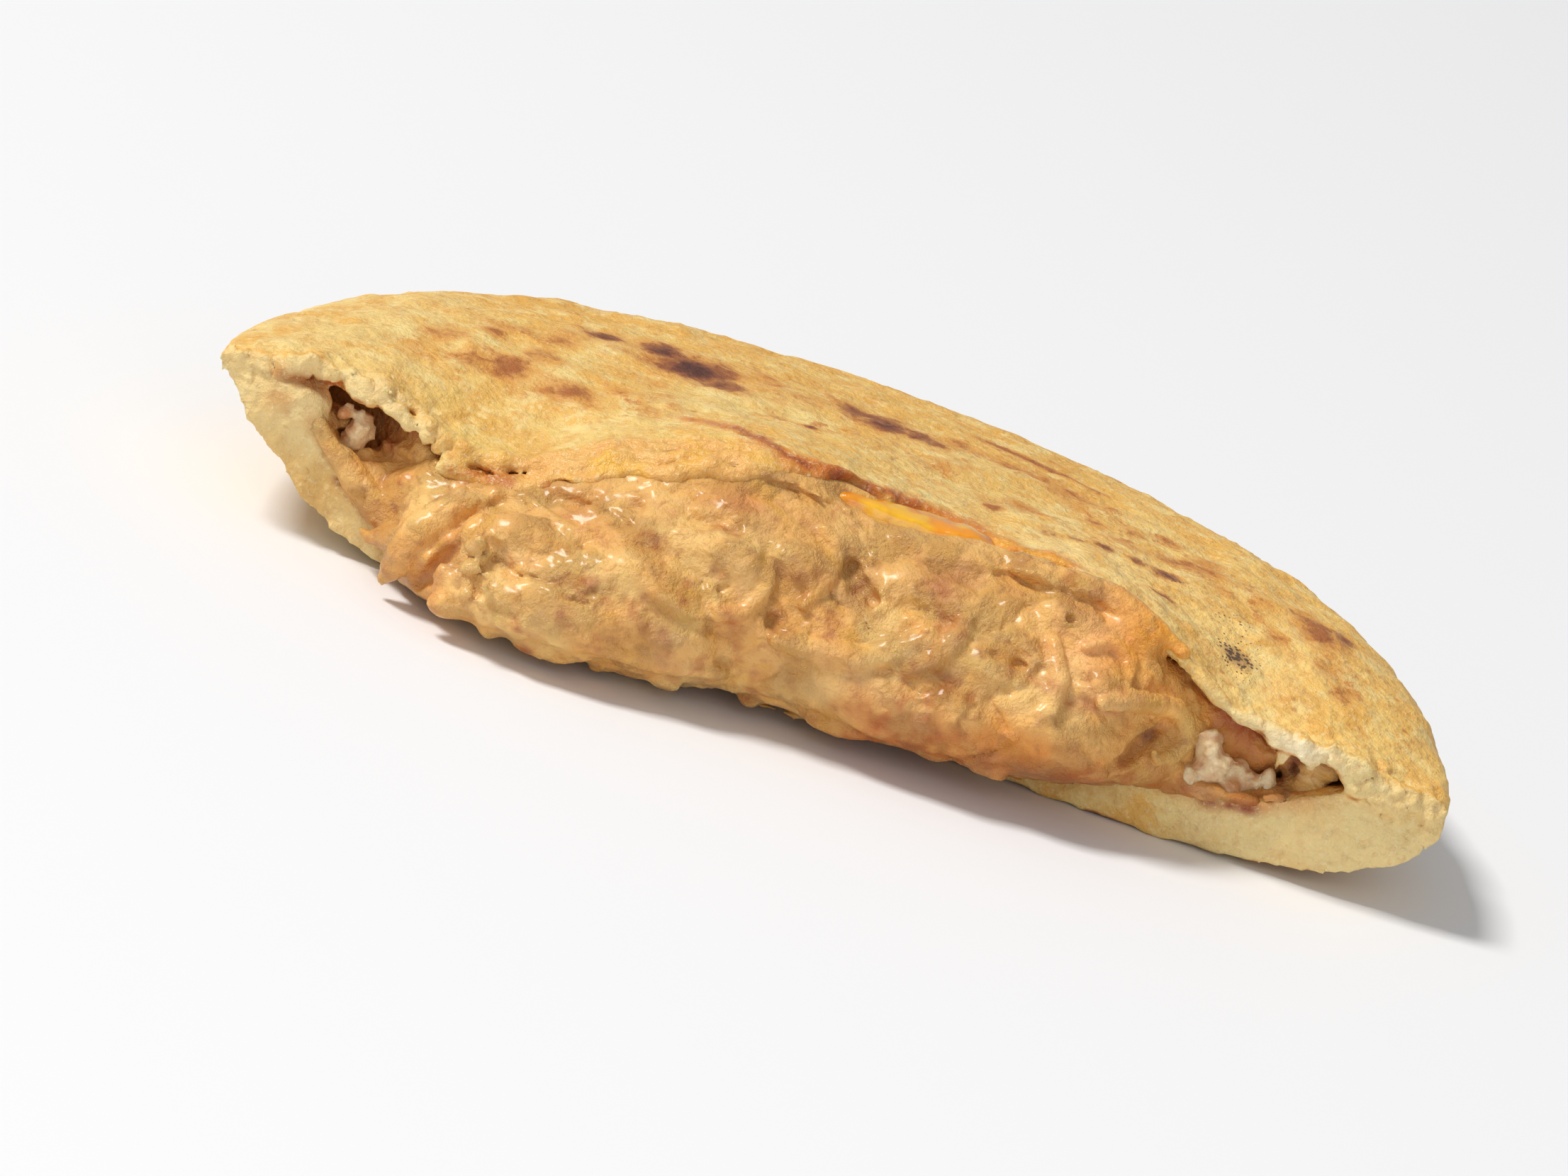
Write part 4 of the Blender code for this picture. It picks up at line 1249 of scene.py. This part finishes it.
def dough_material():
    s = Shader("corn_dough")
    grain = s.noise(1.3, 4, 0.65)
    fine = s.noise(0.5, 3, 0.65)
    skin = s.rise(s.layer("calm"), 0.1, 0.9, 1, 0.1)
    s.colour = s.layer("paint", "Color")
    for *noise, low, high, share, hue in SKIN_PATCHES:
        s.tint(s.times(s.rise(s.noise(*noise), low, high, 0, share), skin), *hue)
    s.tint(s.rise(grain, 0.3, 0.5, 0.3, 0), 196, 138, 60)
    s.tint(s.rise(fine, 0.54, 0.68, 0, 0.35), 248, 232, 184)
    dots = s.times(s.rise(s.cells(2.9), 0.05, 0.2, 1, 0), s.rise(s.noise(5.0), 0.48, 0.6))
    s.tint(s.times(s.times(dots, skin), 0.75), 186, 112, 44)
    patches = s.times(s.rise(s.noise(2.6, 6, 0.72, 0.4), 0.5, 0.66), s.layer("toast"))
    s.tint(s.times(patches, 0.9), 194, 112, 46)
    ragged = s.times(s.minus(s.noise(2.6, 6, 0.68), 0.5), 1.2)
    for name, raggedness, low, high, fade_low, fade_high, share, hue in BURNS:
        burn = s.rise(s.plus(s.layer(name), s.times(ragged, raggedness)), low, high)
        burn = s.times(burn, s.rise(s.layer(name), fade_low, fade_high))
        s.tint(s.times(burn, share), *hue)
    s.tint(s.rise(s.layer("pepper"), 0.35, 0.9, 0, 0.7), 158, 116, 78)
    specks = s.rise(s.minus(s.times(s.layer("pepper"), 0.6), s.cells(0.55)), -0.08, 0.06)
    s.tint(s.times(specks, 0.88), 74, 56, 42)
    meal = s.times(s.times(s.cells(0.85, "SMOOTH_F1"), -0.8), s.rise(s.layer("torn"), 0, 1, 0.4, 0.6))
    height = s.plus(s.plus(s.times(grain, 0.6), s.times(fine, 0.4)), meal)
    s.set(
        Base_Color=s.colour,
        Roughness=s.rise(s.minus(grain, s.times(s.layer("moist"), 0.4)), 0.1, 0.7, 0.3, 0.64),
        Normal=s.bump(height, 0.85, 0.7),
        Subsurface_Weight=0.2,
        Subsurface_Radius=(1.0, 0.6, 0.25),
        Subsurface_Scale=0.0015,
        Specular_IOR_Level=0.45,
    )
    return s.material


def filling_material():
    s = Shader("bean_and_cheese")
    soft = s.noise(3.0, 4, 0.6, 0.6)
    fine = s.noise(1.0, 4, 0.65)
    wet = s.rise(s.noise(5.0, 2, 0.5), 0.44, 0.58, 0.1, 1)
    s.colour = s.layer("paint", "Color")
    s.tint(s.rise(soft, 0.5, 0.7, 0, 0.5), 230, 178, 96)
    s.tint(s.rise(s.noise(2.0, 4, 0.6, 0.8), 0.52, 0.7, 0, 0.45), 182, 112, 56)
    s.tint(s.times(s.layer("mauve"), 0.2), 190, 136, 96)
    s.tint(s.rise(fine, 0.58, 0.72, 0, 0.3), 200, 124, 54)
    height = s.plus(s.times(soft, 0.6), s.times(fine, 0.7))
    height = s.plus(height, s.times(s.times(s.noise(0.6, 4, 0.7), wet), 1.4))
    s.set(
        Base_Color=s.colour,
        Roughness=s.rise(wet, 0.1, 1, 0.52, 0.34),
        Normal=s.bump(height, 0.75, 1.0),
        Subsurface_Weight=0.2,
        Subsurface_Radius=(1.0, 0.55, 0.2),
        Subsurface_Scale=0.0025,
        Coat_Weight=0.3,
        Coat_Roughness=0.2,
    )
    return s.material


def ooze_material():
    s = Shader("fried_cheese")
    s.set(
        Base_Color=s.layer("paint", "Color"),
        Roughness=0.25,
        Normal=s.bump(s.noise(0.9, 3), 0.35, 0.3),
        Subsurface_Weight=0.1,
        Subsurface_Radius=(1.0, 0.7, 0.15),
        Subsurface_Scale=0.0015,
        Coat_Weight=0.6,
        Coat_Roughness=0.1,
    )
    return s.material


def curd_material():
    s = Shader("fresh_curd")
    s.colour = s.layer("paint", "Color")
    s.tint(s.rise(s.noise(0.7, 4, 0.6), 0.45, 0.7, 0, 0.4), 188, 128, 82)
    s.set(
        Base_Color=s.colour,
        Roughness=0.34,
        Normal=s.bump(s.noise(0.5, 4), 0.6, 0.4),
        Subsurface_Weight=0.5,
        Subsurface_Radius=(1.0, 0.7, 0.45),
        Subsurface_Scale=0.0015,
        Coat_Weight=0.3,
        Coat_Roughness=0.2,
    )
    return s.material


# --------------------------------------------------------------------------- the studio

ELEVATION, ROLL = math.radians(18.5), math.radians(19.15)
DISTANCE = 0.8
AIM_HEIGHT = 0.0139
AIM_SIDE, AIM_LIFT = 0.00501, 0.00046
LENS_LENGTH, SENSOR_WIDTH = 184.6, 36
FLOOR_HALF = 6.0
FLOOR_DROP = 0.00005  # just under the part, so that the two share no plane


def camera():
    ahead = Vector((0, math.cos(ELEVATION), -math.sin(ELEVATION)))
    right = Vector((1, 0, 0))
    up = right.cross(ahead)
    side = right * math.cos(ROLL) + up * math.sin(ROLL)
    lift = up * math.cos(ROLL) - right * math.sin(ROLL)
    target = Vector(CENTRE * MM) + Vector((0, 0, AIM_HEIGHT)) - side * AIM_SIDE - lift * AIM_LIFT
    lens = bpy.data.cameras.new("camera")
    lens.lens = LENS_LENGTH
    lens.sensor_width = SENSOR_WIDTH
    lens.clip_start = 0.05
    body = bpy.data.objects.new("camera", lens)
    columns = (side, lift, -ahead, target - ahead * DISTANCE)
    body.matrix_world = Matrix([[column[i] for column in columns] for i in range(3)] + [[0, 0, 0, 1]])
    bpy.context.scene.collection.objects.link(body)
    bpy.context.scene.camera = body


def lamp(name, place, power, size, tint=(1, 1, 1)):
    light_data = bpy.data.lights.new(name, "AREA")
    light_data.energy = power
    light_data.size = size
    light_data.color = tint
    body = bpy.data.objects.new(name, light_data)
    body.location = place
    body.rotation_euler = Vector(place).to_track_quat("Z", "Y").to_euler()
    bpy.context.scene.collection.objects.link(body)


def studio():
    scene = bpy.context.scene
    world = bpy.data.worlds.new("soft_light")
    world.use_nodes = True
    sky = world.node_tree.nodes["Background"]
    sky.inputs["Color"].default_value = (0.93, 0.96, 1.0, 1)
    sky.inputs["Strength"].default_value = 0.38
    scene.world = world
    scene.view_settings.view_transform = "Standard"
    lamp("key", (-1.5, -0.25, 2.1), 58, 0.6, (1.0, 0.98, 0.95))
    lamp("front", (0.2, -1.2, 0.6), 3.5, 0.9)
    mesh = bpy.data.meshes.new("floor")
    ring = ((-1, -1), (1, -1), (1, 1), (-1, 1))
    corners = [(FLOOR_HALF * x, FLOOR_HALF * y, -FLOOR_DROP) for x, y in ring]
    mesh.from_pydata(corners, [], [(0, 1, 2, 3)])
    floor = bpy.data.objects.new("floor", mesh)
    scene.collection.objects.link(floor)
    s = Shader("pale_floor")
    s.set(Base_Color=(0.86, 0.86, 0.87, 1), Roughness=0.6)
    mesh.materials.append(s.material)


# --------------------------------------------------------------------------- the scene


def finish_piece(piece, material, node=None):
    piece.data.materials.clear()
    piece.data.materials.append(material)
    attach(piece, "root")
    if node:
        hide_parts(node)


dough = dough_piece()
paint_dough(dough)
finish_piece(dough, dough_material(), "dough")
filling = filling_piece()
paint_filling(filling)
finish_piece(filling, filling_material(), "filling")
curds = curd_material()
for name, low, high in (("curds_left", -60.0, -46.0), ("curds_right", 36.0, 56.0)):
    finish_piece(curd_piece(name, low, high), curds)
finish_piece(ooze_piece(), ooze_material())
camera()
studio()
